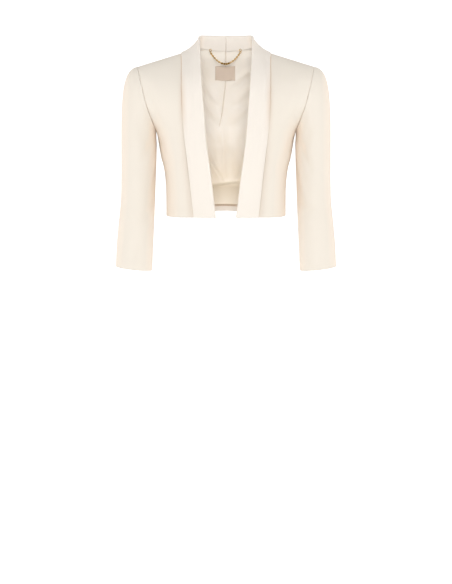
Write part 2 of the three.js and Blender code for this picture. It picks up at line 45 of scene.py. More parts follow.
# Thicknesses and gaps. Cloth that is sewn edge to edge nearly meets, and the stand dips behind the neck seam.
SEAM_GAP = 0.3
CLOTH = 2.0
COLLAR_CLOTH = 2.0
LINING_CLOTH = 1.0
HEM_CLOTH = 1.5
LABEL_CLOTH = 0.8
LAID_GAP = 0.4
SEWN = 0.02
NECK_SEAM = -0.3

# Levels
SIDE_HEM = -365.5
FRONT_HEM = -364
BACK_HEM = -361
UNDERARM = -175
SHOULDER_TIP = -28

# Shoulder line and neck
RIDGE_AT_CENTRE = 34.3
SHOULDER_SLOPE = 0.31
NECK_RISE = 6
NECK_RISE_REACH = 84
RIDGE_ROUNDING = 10
NECK_HALF_WIDTH = 66
BACK_NECK = 5.5
FRONT_FALL_HEIGHT = 110
BACK_FALL_HEIGHT = 100


def table(columns, *rows):
    """A short table as a dictionary from each column's name to its values."""
    return dict(zip(columns.split(), np.array(rows, float).T))


# The body at each height: half its width, how far the front and the back stand off the shoulder line, and
# how square the rounding of its corners is.
BODY = table(
    "z half front back square",
    (-370, 136, 104, 84, 2.5),
    (-310, 136.5, 106, 85, 2.5),
    (-280, 138.5, 107.5, 87, 2.5),
    (-255, 142, 108.5, 90, 2.5),
    (-235, 147.5, 109, 92.5, 2.5),
    (-205, 153, 108.5, 96, 2.45),
    (-175, 158, 105, 98.5, 2.4),
    (-165, 163.5, 103.5, 99, 2.3),
    (-150, 175, 101, 98.5, 2.2),
    (-130, 193, 96.5, 97, 2.1),
    (-108, 215.5, 91.5, 94, 2),
    (-70, 239, 81, 84.5, 2),
    (-50, 250, 74, 77, 2),
    (-28, 252, 65, 67.5, 2),
    (0, 255, 52, 56.5, 2),
    (45, 260, 44, 50, 2),
)

# The armhole seam: how far out it lies at each height.
ARMHOLE = table(
    "z out",
    (-175, 158),
    (-165, 161.5),
    (-150, 167),
    (-130, 174.2),
    (-108, 181),
    (-70, 190.5),
    (-50, 195),
    (-28, 200),
)

# Each front's opening: the roll line, the panel's own edge inside that fold, and the lapel's outer edge.
OPENING = table(
    "z roll panel lapel",
    (-370, 22.6, 25.8, 72),
    (-364, 23.2, 26.4, 72.4),
    (-269, 34.4, 37.6, 82.4),
    (-231, 39.6, 42.8, 86.8),
    (-185, 45.2, 48.4, 92.2),
    (-157, 47.4, 50.6, 95),
    (-110, 51.2, 54.4, 97.6),
    (-65, 54.6, 58, 98.8),
    (-42, 56, 60, 99),
    (-20, 57.4, 62.4, 99.2),
    (0, 58.6, 64.2, 99.6),
    (16, 59.2, 66, 100),
)

# The sleeve below its head: its outer and inner side, its front and its back, and how much lower its
# inner side lies than its outer side.
SLEEVE = table(
    "z outer inner front back slant",
    (-486, 252, 168.8, -57, 22, 9),
    (-430, 249, 166.3, -55.5, 27, 6.5),
    (-380, 244.5, 164, -54, 32.5, 4.5),
    (-335, 240, 162.2, -53, 39, 3),
    (-290, 238.6, 160.6, -52.5, 45.5, 1.5),
    (-245, 238.4, 158.8, -51.5, 50, 0.5),
    (-205, 238.4, 157.8, -51, 53, 0),
)
SLEEVE_TOP = -205
SLEEVE_END = -486

# How a sleeve leaves its armhole and comes down into its first ring, at the underarm and at the shoulder
# tip: how far its lines run out, down and back before they bend, and how far above the ring they turn
# upright.
HEAD_OUT = (1.5, 35)
HEAD_OUT_POWER = 1.25
HEAD_DOWN = (10, 4)
HEAD_BACK = 2
HEAD_UPRIGHT = (10, 116)
HEAD_UPRIGHT_POWER = 1.8

# The collar round the neck, from the centre of the back to the front of the throat: how far out the stand's
# foot lies, the fold's place, the free edge's place, how far the fall stands off a straight line, the
# compass direction that it looks in (90 is back, 0 out, -90 front), and how far the fold leans from upright
# towards the front edge.
COLLAR = table(
    "foot roll_x roll_y roll_z edge_x edge_z swell faces tip",
    (0, 0, 42, 41.5, 0, -6, 2.5, 90, 0),
    (28, 27, 36.5, 41.8, 34, -6, 2, 72, 0),
    (50, 47, 25.5, 42, 66, -3.5, 0.5, 40, 0),
    (61, 57.5, 14, 42, 88, 1, -2, 15, 0),
    (66, 60.6, 3, 39, 100.5, 2.7, -4, 0, 5),
)
# At the throat the foot is a height on the front's edge, and `sunk` is how far it lies behind the front's
# skin.
THROAT = table(
    "foot sunk roll_x roll_y roll_z edge_x edge_z swell faces tip",
    (9, 1.2, 60.4, -9, 29, 100, -8, -3, -22, 25),
    (-2, 2.9, 59.4, -25, 11, 99.6, -22, -1, -48, 48),
)
LAPEL_ROWS = (-22, -46, -74, -106, -142, -180, -220, -260, -300, -335, -364)
EDGE_DROP_AT_THROAT = 16
FOLD_HALF = 2
FOLD_DEPTH = 4
FOLD_SHOULDER_DOWN = 1
FOLD_SHOULDER_SHARE = 0.75
ROLL_SPAN = 3
LAPEL_HOOK = (1.6, 7)
LAPEL_HOOK_GROWS = 50
# How far the lapel swells off the front, how high it rolls beside its free edge, and how far that edge
# itself stands off, at each height.
LAPEL_LIFT = table(
    "z swell roll edge",
    (-364, 1.4, 0.3, 0.2),
    (-260, 1.6, 0.8, 0.5),
    (-170, 1.8, 2.4, 1.6),
    (-100, 1.8, 4.2, 2.8),
    (-50, 1.6, 3.6, 2.4),
    (-22, 1.4, 1.8, 1.2),
)
ROLL_PLACE = 0.72
ROLL_REACH = 0.36
FALL_POINTS = 8

# Lining, hem, label and chain
HEM_TURN = 14.5
LINING_DROP_GAP = 1.7
BAG = {"z": -279, "half": 25, "rise": 80, "deep": 19, "droop": 13, "reach": 112}
LABEL = {"x": -2, "top": -22.5, "width": 47, "height": 33.5}
CHAIN = {"left": 33, "right": -36, "sag": 31, "thick": 3.0}
RING = {"radius": 2.6, "wire": 0.6, "height": 9.5}

# Shade that the cloth carries along its seams and folds: its greatest share, where it is deepest, and how
# far it reaches. The lapels' seam is darkest above `foot`, a warm band lies beside its low part, and a
# softer one lies on both sides of its upper part.
SEAM_SHADE = {"share": 0.85, "half": 3.2, "foot": -150, "fades": 60}
LOW_SHADE = {"share": 0.17, "reach": 24, "top": -150, "fades": 80}
HIGH_SHADE = {"share": 0.22, "reach": 11, "middle": -125, "half": 95}
LAPEL_SHADE = {"share": 0.42, "reach": 15, "middle": -105, "half": 85}
PLEAT_SHADE = {"share": 0.5, "beside": 1, "half": 1.8, "fades": 12}
LINING_HEM_SHADE = {"share": 0.8, "high": 2.2}
FACING_SHADE = {"all_over": 0.08, "at_top": 0.98, "top_part": 1 / 6}


# Small maths on arrays. A net of points is an array of rows, columns and the three coordinates.
def mix(a, b, t):
    return a + (b - a) * t


def unit(vectors):
    return vectors / np.linalg.norm(vectors, axis=-1, keepdims=True)


def xyz(x, y, z):
    return np.stack(np.broadcast_arrays(x, y, z), -1).astype(float)


def hill(value):
    """1 at zero, falling smoothly to 0 at 1 and -1."""
    return np.maximum(0, 1 - np.square(value)) ** 2


def ease(value):
    """A smooth step from 0 to 1."""
    t = np.clip(value, 0, 1)
    return t * t * (3 - 2 * t)


def read(rows, column, z):
    """One column's value at height z, on a smooth curve through the table's rows."""
    heights, values = rows["z"], rows[column]
    z = np.clip(z, heights[0], heights[-1])
    slopes = np.empty_like(values)
    slopes[1:-1] = (values[2:] - values[:-2]) / (heights[2:] - heights[:-2])
    slopes[0] = (values[1] - values[0]) / (heights[1] - heights[0])
    slopes[-1] = (values[-1] - values[-2]) / (heights[-1] - heights[-2])
    i = np.clip(np.searchsorted(heights, z) - 1, 0, len(heights) - 2)
    span = heights[i + 1] - heights[i]
    t = (z - heights[i]) / span
    ends = values[i] * (2 * t**3 - 3 * t**2 + 1) + values[i + 1] * (3 * t**2 - 2 * t**3)
    return ends + span * (slopes[i] * (t**3 - 2 * t**2 + t) + slopes[i + 1] * (t**3 - t**2))


def smooth_curve(points, places):
    """Points at the given places on the smooth curve through `points`, where place k is the k-th point."""
    points = np.asarray(points, float)
    padded = np.concatenate([2 * points[:1] - points[1:2], points, 2 * points[-1:] - points[-2:-1]])
    i = np.clip(np.floor(places).astype(int), 0, len(points) - 2)
    t = (places - i).reshape(-1, *[1] * (points.ndim - 1))
    p0, p1, p2, p3 = (padded[i + k] for k in range(4))
    d0, d1, d2 = (
        np.maximum(1e-3, np.linalg.norm(b - a, axis=-1, keepdims=True)) ** 0.5
        for a, b in ((p0, p1), (p1, p2), (p2, p3))
    )
    leave = ((p1 - p0) / d0 - (p2 - p0) / (d0 + d1) + (p2 - p1) / d1) * d1
    arrive = ((p2 - p1) / d1 - (p3 - p1) / (d1 + d2) + (p3 - p2) / d2) * d1
    return (
        p1
        + leave * t
        + (-3 * p1 + 3 * p2 - 2 * leave - arrive) * t**2
        + (2 * p1 - 2 * p2 + leave + arrive) * t**3
    )


# The body's form
def ridge(x):
    """Height of the shoulder's ridge, the line of the shoulder seam, at a distance x from the centre."""
    in_neck = np.maximum(0, 1 - (x / NECK_RISE_REACH) ** 2)
    return RIDGE_AT_CENTRE - SHOULDER_SLOPE * np.hypot(x, RIDGE_ROUNDING) + NECK_RISE * in_neck**2


def neckline(x):
    """Height of the back's neckline."""
    return mix(BACK_NECK, ridge(NECK_HALF_WIDTH), (x / NECK_HALF_WIDTH) ** 2)


def depth(z, side):
    return np.where(side < 0, read(BODY, "front", z), read(BODY, "back", z))


def share_squared(x, z, side):
    """Square of the body's stand-off from the plane of the shoulder seams, as a share of its depth."""
    square = read(BODY, "square", z)
    across = np.maximum(0, 1 - (np.abs(x) / read(BODY, "half", z)) ** square) ** (2 / square)
    fall = np.where(side < 0, FRONT_FALL_HEIGHT, BACK_FALL_HEIGHT)
    below = np.minimum(1, (ridge(x) - z) / fall)
    return across * (1 - (1 - below) ** 2)


def stand_off(x, z, side):
    return np.sqrt(np.maximum(0, share_squared(x, z, side))) * depth(z, side)


def skin(x, z, side):
    """Points of the body's skin. Front (side -1) and back (side 1) meet in the shoulder and side seams."""
    return xyz(x, side * (stand_off(x, z, side) + SEWN / 2), z)


def body_form(x, y, z, side):
    """Zero on the skin, below zero inside it and above zero outside."""
    return (y / depth(z, side)) ** 2 - share_squared(x, z, side)


def body_slope(x, y, z, side):
    step = 0.5
    return xyz(
        body_form(x + step, y, z, side) - body_form(x - step, y, z, side),
        4 * step * y / depth(z, side) ** 2,
        body_form(x, y, z + step, side) - body_form(x, y, z - step, side),
    ) / (2 * step)


def facing(x, z, side):
    return unit(body_slope(x, side * stand_off(x, z, side), z, side))


def off_skin(x, z, side, distance):
    return skin(x, z, side) + facing(x, z, side) * np.asarray(distance, float)[..., None]


def keep_off(points, distance):
    """Moves points out until they are at least a given distance off the skin."""
    for _ in range(4):
        x, y, z = (points[..., k] for k in range(3))
        side = np.where(y < 0, -1, 1)
        slope = body_slope(x, y, z, side)
        steepness = np.linalg.norm(slope, axis=-1)
        away = body_form(x, y, z, side) / steepness
        points = points + slope / steepness[..., None] * np.maximum(0, distance - away)[..., None]
    return points


# Folds given one by one. Each runs from (x0, z0) to (x1, z1), `half` wide to either side, and is `deep` high.
# A depth below zero is a trough.
def folds_at(folds, x, z):
    total = np.zeros(np.broadcast(x, z).shape)
    for x0, z0, x1, z1, half, deep in np.stack(list(folds.values()), -1):
        run = np.array([x1 - x0, z1 - z0])
        length = np.hypot(*run)
        along = ((x - x0) * run[0] + (z - z0) * run[1]) / length
        across = ((x - x0) * run[1] - (z - z0) * run[0]) / length
        taper = ease(along / (0.4 * length) + 0.5) * ease((length - along) / (0.4 * length) + 0.5)
        total += deep * np.exp(-((across / half) ** 2)) * taper
    return total


FRONT_FOLDS = {
    1: table(
        "x0 z0 x1 z1 half deep",
        (86, -190, 71, -390, 13, -6),
        (113, -240, 110, -385, 13, 1.4),
        (154, -186, 120, -262, 11, -2.24),
        (150, -178, 134, -300, 9, -1.68),
        (150, -20, 128, -120, 15, -1.4),
        (176, -60, 150, -160, 10, -1.68),
    ),
    -1: table(
        "x0 z0 x1 z1 half deep",
        (87, -178, 72, -390, 14, -5.4),
        (116, -230, 109, -385, 14, 1.12),
        (154, -188, 124, -250, 13, -1.82),
        (151, -180, 137, -282, 8, -1.96),
        (146, -24, 132, -132, 17, -1.12),
        (178, -66, 155, -152, 9, -1.96),
    ),
}
BACK_FOLDS = table(
    "x0 z0 x1 z1 half deep",
    (-168, -110, -112, -205, 13, -4),
    (-150, -150, -98, -262, 11, 3.1),
    (164, -118, 118, -190, 14, -3.5),
    (152, -160, 104, -250, 12, 3.3),
    (-40, -250, -52, -385, 15, -3.2),
    (28, -235, 36, -385, 16, -3.6),
    (-104, -280, -96, -390, 14, 2.8),
    (96, -270, 90, -390, 15, 2.5),
    (-60, -12, 60, -16, 7, -1.7),
)
# On a sleeve x is the distance round it from its outer side, towards its front, and z is the height.
SLEEVE_FOLDS = {
    1: table(
        "x0 z0 x1 z1 half deep",
        (96, -196, 66, -268, 9, -2.43),
        (112, -214, 84, -318, 8, 1.62),
        (60, -110, 84, -206, 10, -1.76),
        (112, -330, 70, -352, 8, -1.76),
        (116, -352, 78, -384, 9, 1.22),
        (176, -200, 204, -300, 11, -2.43),
        (150, -318, 206, -338, 9, -2.29),
        (152, -344, 196, -376, 8, 1.76),
        (20, -400, 26, -484, 13, -1.22),
    ),
    -1: table(
        "x0 z0 x1 z1 half deep",
        (98, -190, 62, -254, 10, -2.16),
        (114, -222, 88, -300, 9, 1.35),
        (58, -118, 86, -210, 11, -1.49),
        (110, -338, 74, -366, 9, -1.49),
        (118, -360, 82, -402, 8, 1.08),
        (174, -206, 200, -286, 12, -2.16),
        (148, -326, 200, -352, 8, -2.03),
        (150, -356, 192, -384, 9, 1.62),
        (24, -390, 18, -482, 12, -1.08),
    ),
}
LINING_FOLDS = table(
    "x0 z0 x1 z1 half deep",
    (-66, -46, -22, -106, 8, 3.9),
    (-70, -78, -20, -148, 9, 4.5),
    (-84, -120, -26, -190, 11, 3.3),
    (62, -28, 12, -66, 7, 3.3),
    (70, -62, 24, -106, 8, 3.9),
    (78, -96, 10, -154, 10, 4.2),
    (90, -150, 30, -206, 12, 2.7),
    (-8, -178, -5, -272, 4.5, -1.8),
    (9, -170, 11, -282, 9, 2.4),
    (-58, -222, -8, -282, 6, 4.8),
    (-23, -184, -20, -256, 9, 1.8),
    (40, -200, 34, -290, 12, 2.4),
    (62, -240, 10, -296, 9, 3),
    (-96, -190, -90, -320, 13, 3),
    (100, -200, 94, -318, 14, 3.3),
)
# The lining's centre pleat: its folded edge's place at each height, and how far it stands off.
PLEAT_LINE = table("z x", (-170, -17.5), (-162, -15.8), (-131, -9.7), (-93, -5.3), (-61, -2.1), (-20, -1.5))
LINING_EASE = 2.8
PLEAT_TOP = -1.5
PLEAT_HIGH = 3.2
PLEAT_WIDE = 15
PLEAT_LIP = 0.4
PLEAT_GROOVE = 2.5
PLEAT_GROOVE_WIDE = 3


# Nets of points
def steps(count):
    return np.linspace(0, 1, count + 1)


def armhole_height(turn):
    """The armhole's height at a turn round it, in radians: 0 is the shoulder tip, pi the underarm."""
    return mix(UNDERARM, SHOULDER_TIP, (1 + np.cos(turn)) / 2)


SIDE_SHARE = 0.6
CROWDING = 1.7


def panel_rows(side_rows, armhole_rows):
    """Shares of the way up a panel at its inner and outer end, and which rows end on the armhole."""
    up_side = steps(side_rows)[:-1]
    up_armhole = steps(armhole_rows)
    reach = SHOULDER_TIP - SIDE_HEM
    inner = np.concatenate([SIDE_SHARE * up_side, mix(1, SIDE_SHARE, (1 - up_armhole) ** CROWDING)])
    tips = armhole_height(math.pi * (1 - up_armhole)) - SIDE_HEM
    outer = np.concatenate([(UNDERARM - SIDE_HEM) * up_side, tips]) / reach
    return inner[:, None], outer[:, None]


def outer_end(height):
    """How far out a panel's outer end lies: on the armhole, or on the side seam below it."""
    return np.where(height > UNDERARM, read(ARMHOLE, "out", height), read(BODY, "half", height))


def panel_places(shares, top, top_height, hem, inner_edge, side_rows=70, armhole_rows=60):
    """The x and z of a net over half a body panel. `top` is how far out each column ends at the top."""
    inner, outer = panel_rows(side_rows, armhole_rows)
    tip_height = mix(SIDE_HEM, SHOULDER_TIP, outer)
    out_x = outer_end(tip_height)
    in_x = inner_edge(mix(hem, top_height(top[0]), inner))
    low = np.sin(shares * math.pi / 2)
    high = (top - top[0]) / (top[-1] - top[0])
    x = mix(in_x, out_x, mix(low, high, np.clip(inner * 2 - 1, 0, 1)))
    reach = (x - in_x) / (out_x - in_x)
    z = mix(mix(hem, SIDE_HEM, reach), top_height(x[-1]), mix(inner, outer, reach))
    z[:-1, -1] = tip_height[:-1, 0]
    return x, z


def front_places():
    shares = steps(60)
    tip = float(read(ARMHOLE, "out", SHOULDER_TIP))
    top = mix(NECK_HALF_WIDTH, tip, shares)
    return panel_places(shares, top, ridge, FRONT_HEM, lambda z: read(OPENING, "panel", z))


def top_of_back(x):
    return np.where(x < NECK_HALF_WIDTH, neckline(x), ridge(x))


def back_places():
    shares = steps(70)
    tip = float(read(ARMHOLE, "out", SHOULDER_TIP))
    top = np.interp(shares, (0, 0.4, 1), (0, NECK_HALF_WIDTH, tip))
    x, z = panel_places(shares, top, top_of_back, BACK_HEM, lambda height: 0 * height)
    return np.concatenate([-x[:, :0:-1], x], 1), np.concatenate([z[:, :0:-1], z], 1)


def net_normals(net, closed=False):
    """Directions square to a net of points."""
    up = np.gradient(net, axis=0)
    if closed:
        along = np.roll(net, -1, 1) - np.roll(net, 1, 1)
    else:
        along = np.gradient(net, axis=1)
    return unit(np.cross(up, along))


SLEEVE_COLUMNS = 128
SLEEVE_HEAD_ROWS = 40
SLEEVE_ARM_ROWS = 90


def sleeve_ring(z, turn):
    across = (1 + np.cos(turn)) / 2
    return xyz(
        mix(read(SLEEVE, "inner", z), read(SLEEVE, "outer", z), across),
        mix(read(SLEEVE, "back", z), read(SLEEVE, "front", z), (1 + np.sin(turn)) / 2),
        z + read(SLEEVE, "slant", z) / 2 * np.cos(turn),
    )


def sleeve_net():
    """Lines from the armhole over the sleeve's head into upright rings down to the cuff."""
    turn = 2 * math.pi * np.arange(SLEEVE_COLUMNS) / SLEEVE_COLUMNS
    upper = (1 + np.cos(turn)) / 2
    z = armhole_height(turn)
    side = np.where(turn < math.pi, -1, 1)
    start = skin(read(ARMHOLE, "out", z), z, side)
    start[[0, SLEEVE_COLUMNS // 2], 1] = 0
    widening = read(ARMHOLE, "out", UNDERARM) - read(ARMHOLE, "out", SHOULDER_TIP)
    start += unit(np.array([SHOULDER_TIP - UNDERARM, 0, widening])) * SEWN
    leave = xyz(
        mix(*HEAD_OUT, upper**HEAD_OUT_POWER), -HEAD_BACK * np.sin(turn), -mix(*HEAD_DOWN, upper)
    )
    end = sleeve_ring(SLEEVE_TOP, turn)
    upright = xyz(0, 0, mix(*HEAD_UPRIGHT, upper**HEAD_UPRIGHT_POWER))
    t = steps(SLEEVE_HEAD_ROWS)[:, None, None]
    head = (
        (1 - t) ** 3 * start
        + 3 * (1 - t) ** 2 * t * (start + leave)
        + 3 * (1 - t) * t**2 * (end + upright)
        + t**3 * end
    )
    heights = mix(SLEEVE_TOP, SLEEVE_END, steps(SLEEVE_ARM_ROWS)[1:])
    return np.concatenate([head, sleeve_ring(heights[:, None], turn)])


# The collar's sections
def fold(roll, lean, out, half):
    """The folded end of a section: up one side of the fold, over it and down the other side."""
    shoulder = half * FOLD_SHOULDER_SHARE
    places = (
        (FOLD_DEPTH, -half),
        (FOLD_SHOULDER_DOWN, -shoulder),
        (0, 0),
        (FOLD_SHOULDER_DOWN, shoulder),
        (FOLD_DEPTH, half),
    )
    return [roll - lean * down + out * across for down, across in places]


def stand_foot(x):
    """The foot of the collar's stand, just inside the back's neckline and flush with the lining."""
    foot = skin(x, neckline(x), 1)
    inwards = unit(foot * (1, 1, 0))
    return foot - inwards * (CLOTH + LAID_GAP) + (0, 0, SEAM_GAP)


def neck_section(row, foot):
    faces, tip = math.radians(row["faces"]), math.radians(row["tip"])
    out = np.array([math.cos(faces), math.sin(faces), 0])
    lean = np.array([out[1] * math.sin(tip), -out[0] * math.sin(tip), math.cos(tip)])
    roll = np.array([row["roll_x"], row["roll_y"], row["roll_z"]])
    side = 1 if faces > 0 else -1
    edge = off_skin(row["edge_x"], row["edge_z"], side, LAID_GAP + COLLAR_CLOTH / 2)
    turn = fold(roll, lean, out, FOLD_HALF)
    along = unit(edge - turn[-1])
    swelling = unit(out - along * out.dot(along))
    falls = []
    for i in range(1, FALL_POINTS + 1):
        t = i / FALL_POINTS
        falls.append(mix(turn[-1], edge, t) + swelling * row["swell"] * 4 * t * (1 - t))
    return [foot, mix(foot, turn[0], 0.5), *turn, *falls]


def lapel_section(z):
    """A short hook inside the front, the fold round its edge, and the lapel lying on it."""
    roll_x = float(read(OPENING, "roll", z))
    in_plane = off_skin(roll_x, z, -1, -CLOTH / 2)
    out = facing(roll_x, z, -1)
    lean = unit(skin(roll_x - ROLL_SPAN, z, -1) - skin(roll_x + ROLL_SPAN, z, -1))
    half = CLOTH / 2 + LAID_GAP + COLLAR_CLOTH / 2
    hook_length = mix(*LAPEL_HOOK, np.clip((LAPEL_ROWS[0] - z) / LAPEL_HOOK_GROWS, 0, 1))
    hook_places = (roll_x + FOLD_DEPTH + part * hook_length for part in (1, 0.5))
    hooks = [off_skin(x, z, -1, -CLOTH / 2 - half) for x in hook_places]
    up_front = np.clip((z - FRONT_HEM) / (LAPEL_ROWS[0] - FRONT_HEM), 0, 1)
    edge_z = z - EDGE_DROP_AT_THROAT * up_front**2
    edge_x = float(read(OPENING, "lapel", edge_z))
    swell, roll, edge_lift = (float(read(LAPEL_LIFT, column, z)) for column in ("swell", "roll", "edge"))
    falls = []
    for i in range(1, FALL_POINTS + 1):
        t = i / FALL_POINTS
        crown = swell * 4 * t * (1 - t) + roll * hill((t - ROLL_PLACE) / ROLL_REACH) + edge_lift * t**2
        lift = LAID_GAP + COLLAR_CLOTH / 2 + crown
        falls.append(off_skin(mix(roll_x + FOLD_DEPTH, edge_x, t), mix(z, edge_z, t), -1, lift))
    return [*hooks, *fold(in_plane, lean, out, half), *falls]


def rows_of(rows):
    return [dict(zip(rows, values)) for values in zip(*rows.values())]


ROWS_PER_STATION = 10
POINTS_PER_STEP = 5


def collar_net():
    """The middle surface of one half of the collar, from the centre of the back to the hem."""
    stations = [neck_section(row, stand_foot(row["foot"])) for row in rows_of(COLLAR)]
    for row in rows_of(THROAT):
        foot = off_skin(float(read(OPENING, "panel", row["foot"])), row["foot"], -1, -row["sunk"])
        stations.append(neck_section(row, foot + (-COLLAR_CLOTH / 2 - 2 * SEAM_GAP, 0, SEAM_GAP)))
    stations += [lapel_section(z) for z in LAPEL_ROWS]
    lengthwise = steps((len(stations) - 1) * ROWS_PER_STATION) * (len(stations) - 1)
    net = smooth_curve(np.array(stations), lengthwise)
    points = net.shape[1] - 1
    across = steps(points * POINTS_PER_STEP) * points
    net = smooth_curve(net.swapaxes(0, 1), across).swapaxes(0, 1)
    fall = across > points - FALL_POINTS
    net[:, fall] = keep_off(net[:, fall], LAID_GAP + COLLAR_CLOTH / 2)
    net[0, :, 0] = SEWN / 2
    return net


# Meshes
def border(rows, columns, closed):
    """The (row, column) places round the edge of a net, one list for each edge."""
    if closed:
        return [[(r, c) for c in range(columns + 1)] for r in (0, rows - 1)]
    loop = [(0, c) for c in range(columns)]
    loop += [(r, columns - 1) for r in range(1, rows)]
    loop += [(rows - 1, c) for c in range(columns - 2, -1, -1)]
    loop += [(r, 0) for r in range(rows - 2, -1, -1)]
    return [loop]


def pulled_in(net, edges):
    """A net whose edges are moved in to round the cloth: its first and last row, then its columns."""
    net = net.copy()
    for (end, beside), distance in zip(((0, 1), (-1, -2)), edges):
        net[end] += unit(net[beside] - net[end]) * distance
    for (end, beside), distance in zip(((0, 1), (-1, -2)), edges[2:]):
        net[:, end] += unit(net[:, beside] - net[:, end]) * distance
    return net


def lengths_along(net, axis):
    gaps = np.linalg.norm(np.diff(net, axis=axis), axis=-1)
    start = np.zeros_like(gaps.take([0], axis))
    return np.concatenate([start, np.cumsum(gaps, axis)], axis)


def mesh_object(name, vertices, faces, uvs, material, shade):
    """One smooth mesh from points in millimetres, with a UV map of the cloth's own sizes in metres."""
    mesh = bpy.data.meshes.new(name)
    mesh.from_pydata((np.asarray(vertices) * MM).tolist(), [], np.asarray(faces).tolist())
    mesh.shade_smooth()
    if uvs is not None:
        layer = mesh.uv_layers.new(name="cut")
        layer.data.foreach_set("uv", (np.asarray(uvs) * MM).astype(np.float32).ravel())
    mesh.attributes.new("shade", "FLOAT", "POINT").data.foreach_set("value", shade.astype(np.float32))
    mesh.materials.append(material)
    mesh.validate()
    piece = bpy.data.objects.new(name, mesh)
    bpy.context.scene.collection.objects.link(piece)
    return piece


def shell(name, face, normals, thickness, material, edges, closed=False, shade=0):
    """A closed wall of cloth behind its face, with rounded edges, and a share of shade at each point."""
    rows, columns = face.shape[:2]
    shade = np.broadcast_to(shade, (rows, columns)).ravel()
    shades = [shade, shade]
    behind = face - normals * thickness
    middle = face - normals * thickness / 2
    layers = [pulled_in(net, edges) for net in (face, behind)]
    size = rows * columns
    rims = border(rows, columns, closed)
    r, c = np.meshgrid(np.arange(rows - 1), np.arange(columns if closed else columns - 1), indexing="ij")
    cell_rows = np.stack([r, r, r + 1, r + 1], -1).reshape(-1, 4)
    cell_columns = np.stack([c, c + 1, c + 1, c], -1).reshape(-1, 4)
    looped = np.concatenate([face, face[:, :1]], 1) if closed else face
    u, v = lengths_along(looped, 1), lengths_along(looped, 0)
    cells = cell_rows * columns + cell_columns % columns
    cell_uvs = np.stack([u[cell_rows, cell_columns], v[cell_rows, cell_columns]], -1)
    faces = [cells, cells[:, ::-1] + size]
    uvs = [cell_uvs, cell_uvs[:, ::-1]]
    vertices = [layers[0].reshape(-1, 3), layers[1].reshape(-1, 3)]
    count = 2 * size
    for rim in rims:
        places = np.array(rim)
        edge = places[:, 0] * columns + places[:, 1] % columns
        vertices.append(middle.reshape(-1, 3)[edge[:-1]])
        shades.append(shade[edge[:-1]])
        ring = count + np.append(np.arange(len(edge) - 1), 0)
        count += len(edge) - 1
        edge_uv = np.stack([u[places[:, 0], places[:, 1]], v[places[:, 0], places[:, 1]]], -1)
        around = np.stack([edge_uv[:-1], edge_uv[1:], edge_uv[1:], edge_uv[:-1]], 1)
        turned = rim[0][0] > 0
        for near, far in ((edge, ring), (ring, edge + size)):
            strip = np.stack([near[1:], near[:-1], far[:-1], far[1:]], 1)
            strip_uv = around[:, [1, 0, 3, 2]]
            faces.append(strip[:, ::-1] if turned else strip)
            uvs.append(strip_uv[:, ::-1] if turned else strip_uv)
    vertices, faces, uvs = (np.concatenate(part) for part in (vertices, faces, uvs))
    a, b, d = (vertices[faces[:, k]] for k in (0, 1, 2))
    if np.einsum("ij,ij->", a, np.cross(b, d)) < 0:
        faces, uvs = faces[:, ::-1], uvs[:, ::-1]
    return mesh_object(name, vertices, faces, uvs, material, np.concatenate(shades))


def mirrored(net):
    return net * (-1, 1, 1)


# Materials
class Value:
    """A shader socket whose arithmetic adds Math nodes."""

    def __init__(self, finish, socket):
        self.finish = finish
        self.socket = socket

    def maths(self, operation, *others):
        node = self.finish.node("ShaderNodeMath", {"operation": operation}, dict(enumerate((self, *others))))
        return self.finish.value(node.outputs[0])

    def __add__(self, other):
        return self.maths("ADD", other)

    def __radd__(self, other):
        return self.maths("ADD", other)

    def __sub__(self, other):
        return self.maths("SUBTRACT", other)

    def __rsub__(self, other):
        return self.maths("MULTIPLY", -1).maths("ADD", other)

    def __mul__(self, other):
        return self.maths("MULTIPLY", other)

    def __rmul__(self, other):
        return self.maths("MULTIPLY", other)

    def sine(self):
        return self.maths("SINE")

    def size(self):
        return self.maths("ABSOLUTE")


class Finish:
    """A material and the one way that its nodes are made."""

    def __init__(self, name, settings):
        self.material = bpy.data.materials.new(name)
        self.material.use_nodes = True
        self.tree = self.material.node_tree
        self.tree.nodes.clear()
        self.shader = self.node("ShaderNodeBsdfPrincipled", {}, settings)
        self.node("ShaderNodeOutputMaterial", {}, {"Surface": self.shader.outputs[0]})

    def node(self, kind, settings, inputs):
        node = self.tree.nodes.new(kind)
        for name, value in settings.items():
            setattr(node, name, value)
        for key, value in inputs.items():
            self.join(value, node.inputs[key])
        return node

    def join(self, value, socket):
        if isinstance(value, Value):
            value = value.socket
        if isinstance(value, bpy.types.NodeSocket):
            self.tree.links.new(value, socket)
        else:
            socket.default_value = value

    def value(self, socket):
        return Value(self, socket)

    def place(self, kind="Object"):
        return self.node("ShaderNodeTexCoord", {}, {}).outputs[kind]

    def noise(self, at, scale, detail=3, roughness=0.5):
        inputs = {"Vector": at, "Scale": scale, "Detail": detail, "Roughness": roughness}
        return self.value(self.node("ShaderNodeTexNoise", {}, inputs).outputs["Fac"])

    def own_shade(self):
        """The share of shade that the cloth's own mesh carries, deepest along its seams and folds."""
        return self.value(self.node("ShaderNodeAttribute", {"attribute_name": "shade"}, {}).outputs["Fac"])

    def blend(self, amount, first, second):
        """The colour between two colours."""
        node = self.node("ShaderNodeMix", {"data_type": "RGBA"}, {0: amount, 6: first, 7: second})
        return node.outputs[2]

    def split(self, at):
        node = self.node("ShaderNodeSeparateXYZ", {}, {"Vector": at})
        return [self.value(node.outputs[k]) for k in range(3)]

    def feed(self, name, value):
        self.join(value, self.shader.inputs[name])

    def bump(self, height, distance, strength=1.0):
        inputs = {"Height": height, "Distance": distance, "Strength": strength}
        self.feed("Normal", self.node("ShaderNodeBump", {}, inputs).outputs[0])


def colour(red, green, blue):
    """A colour given as it shows on a screen, 0 to 255."""
    return (*(((part / 255 + 0.055) / 1.055) ** 2.4 for part in (red, green, blue)), 1)


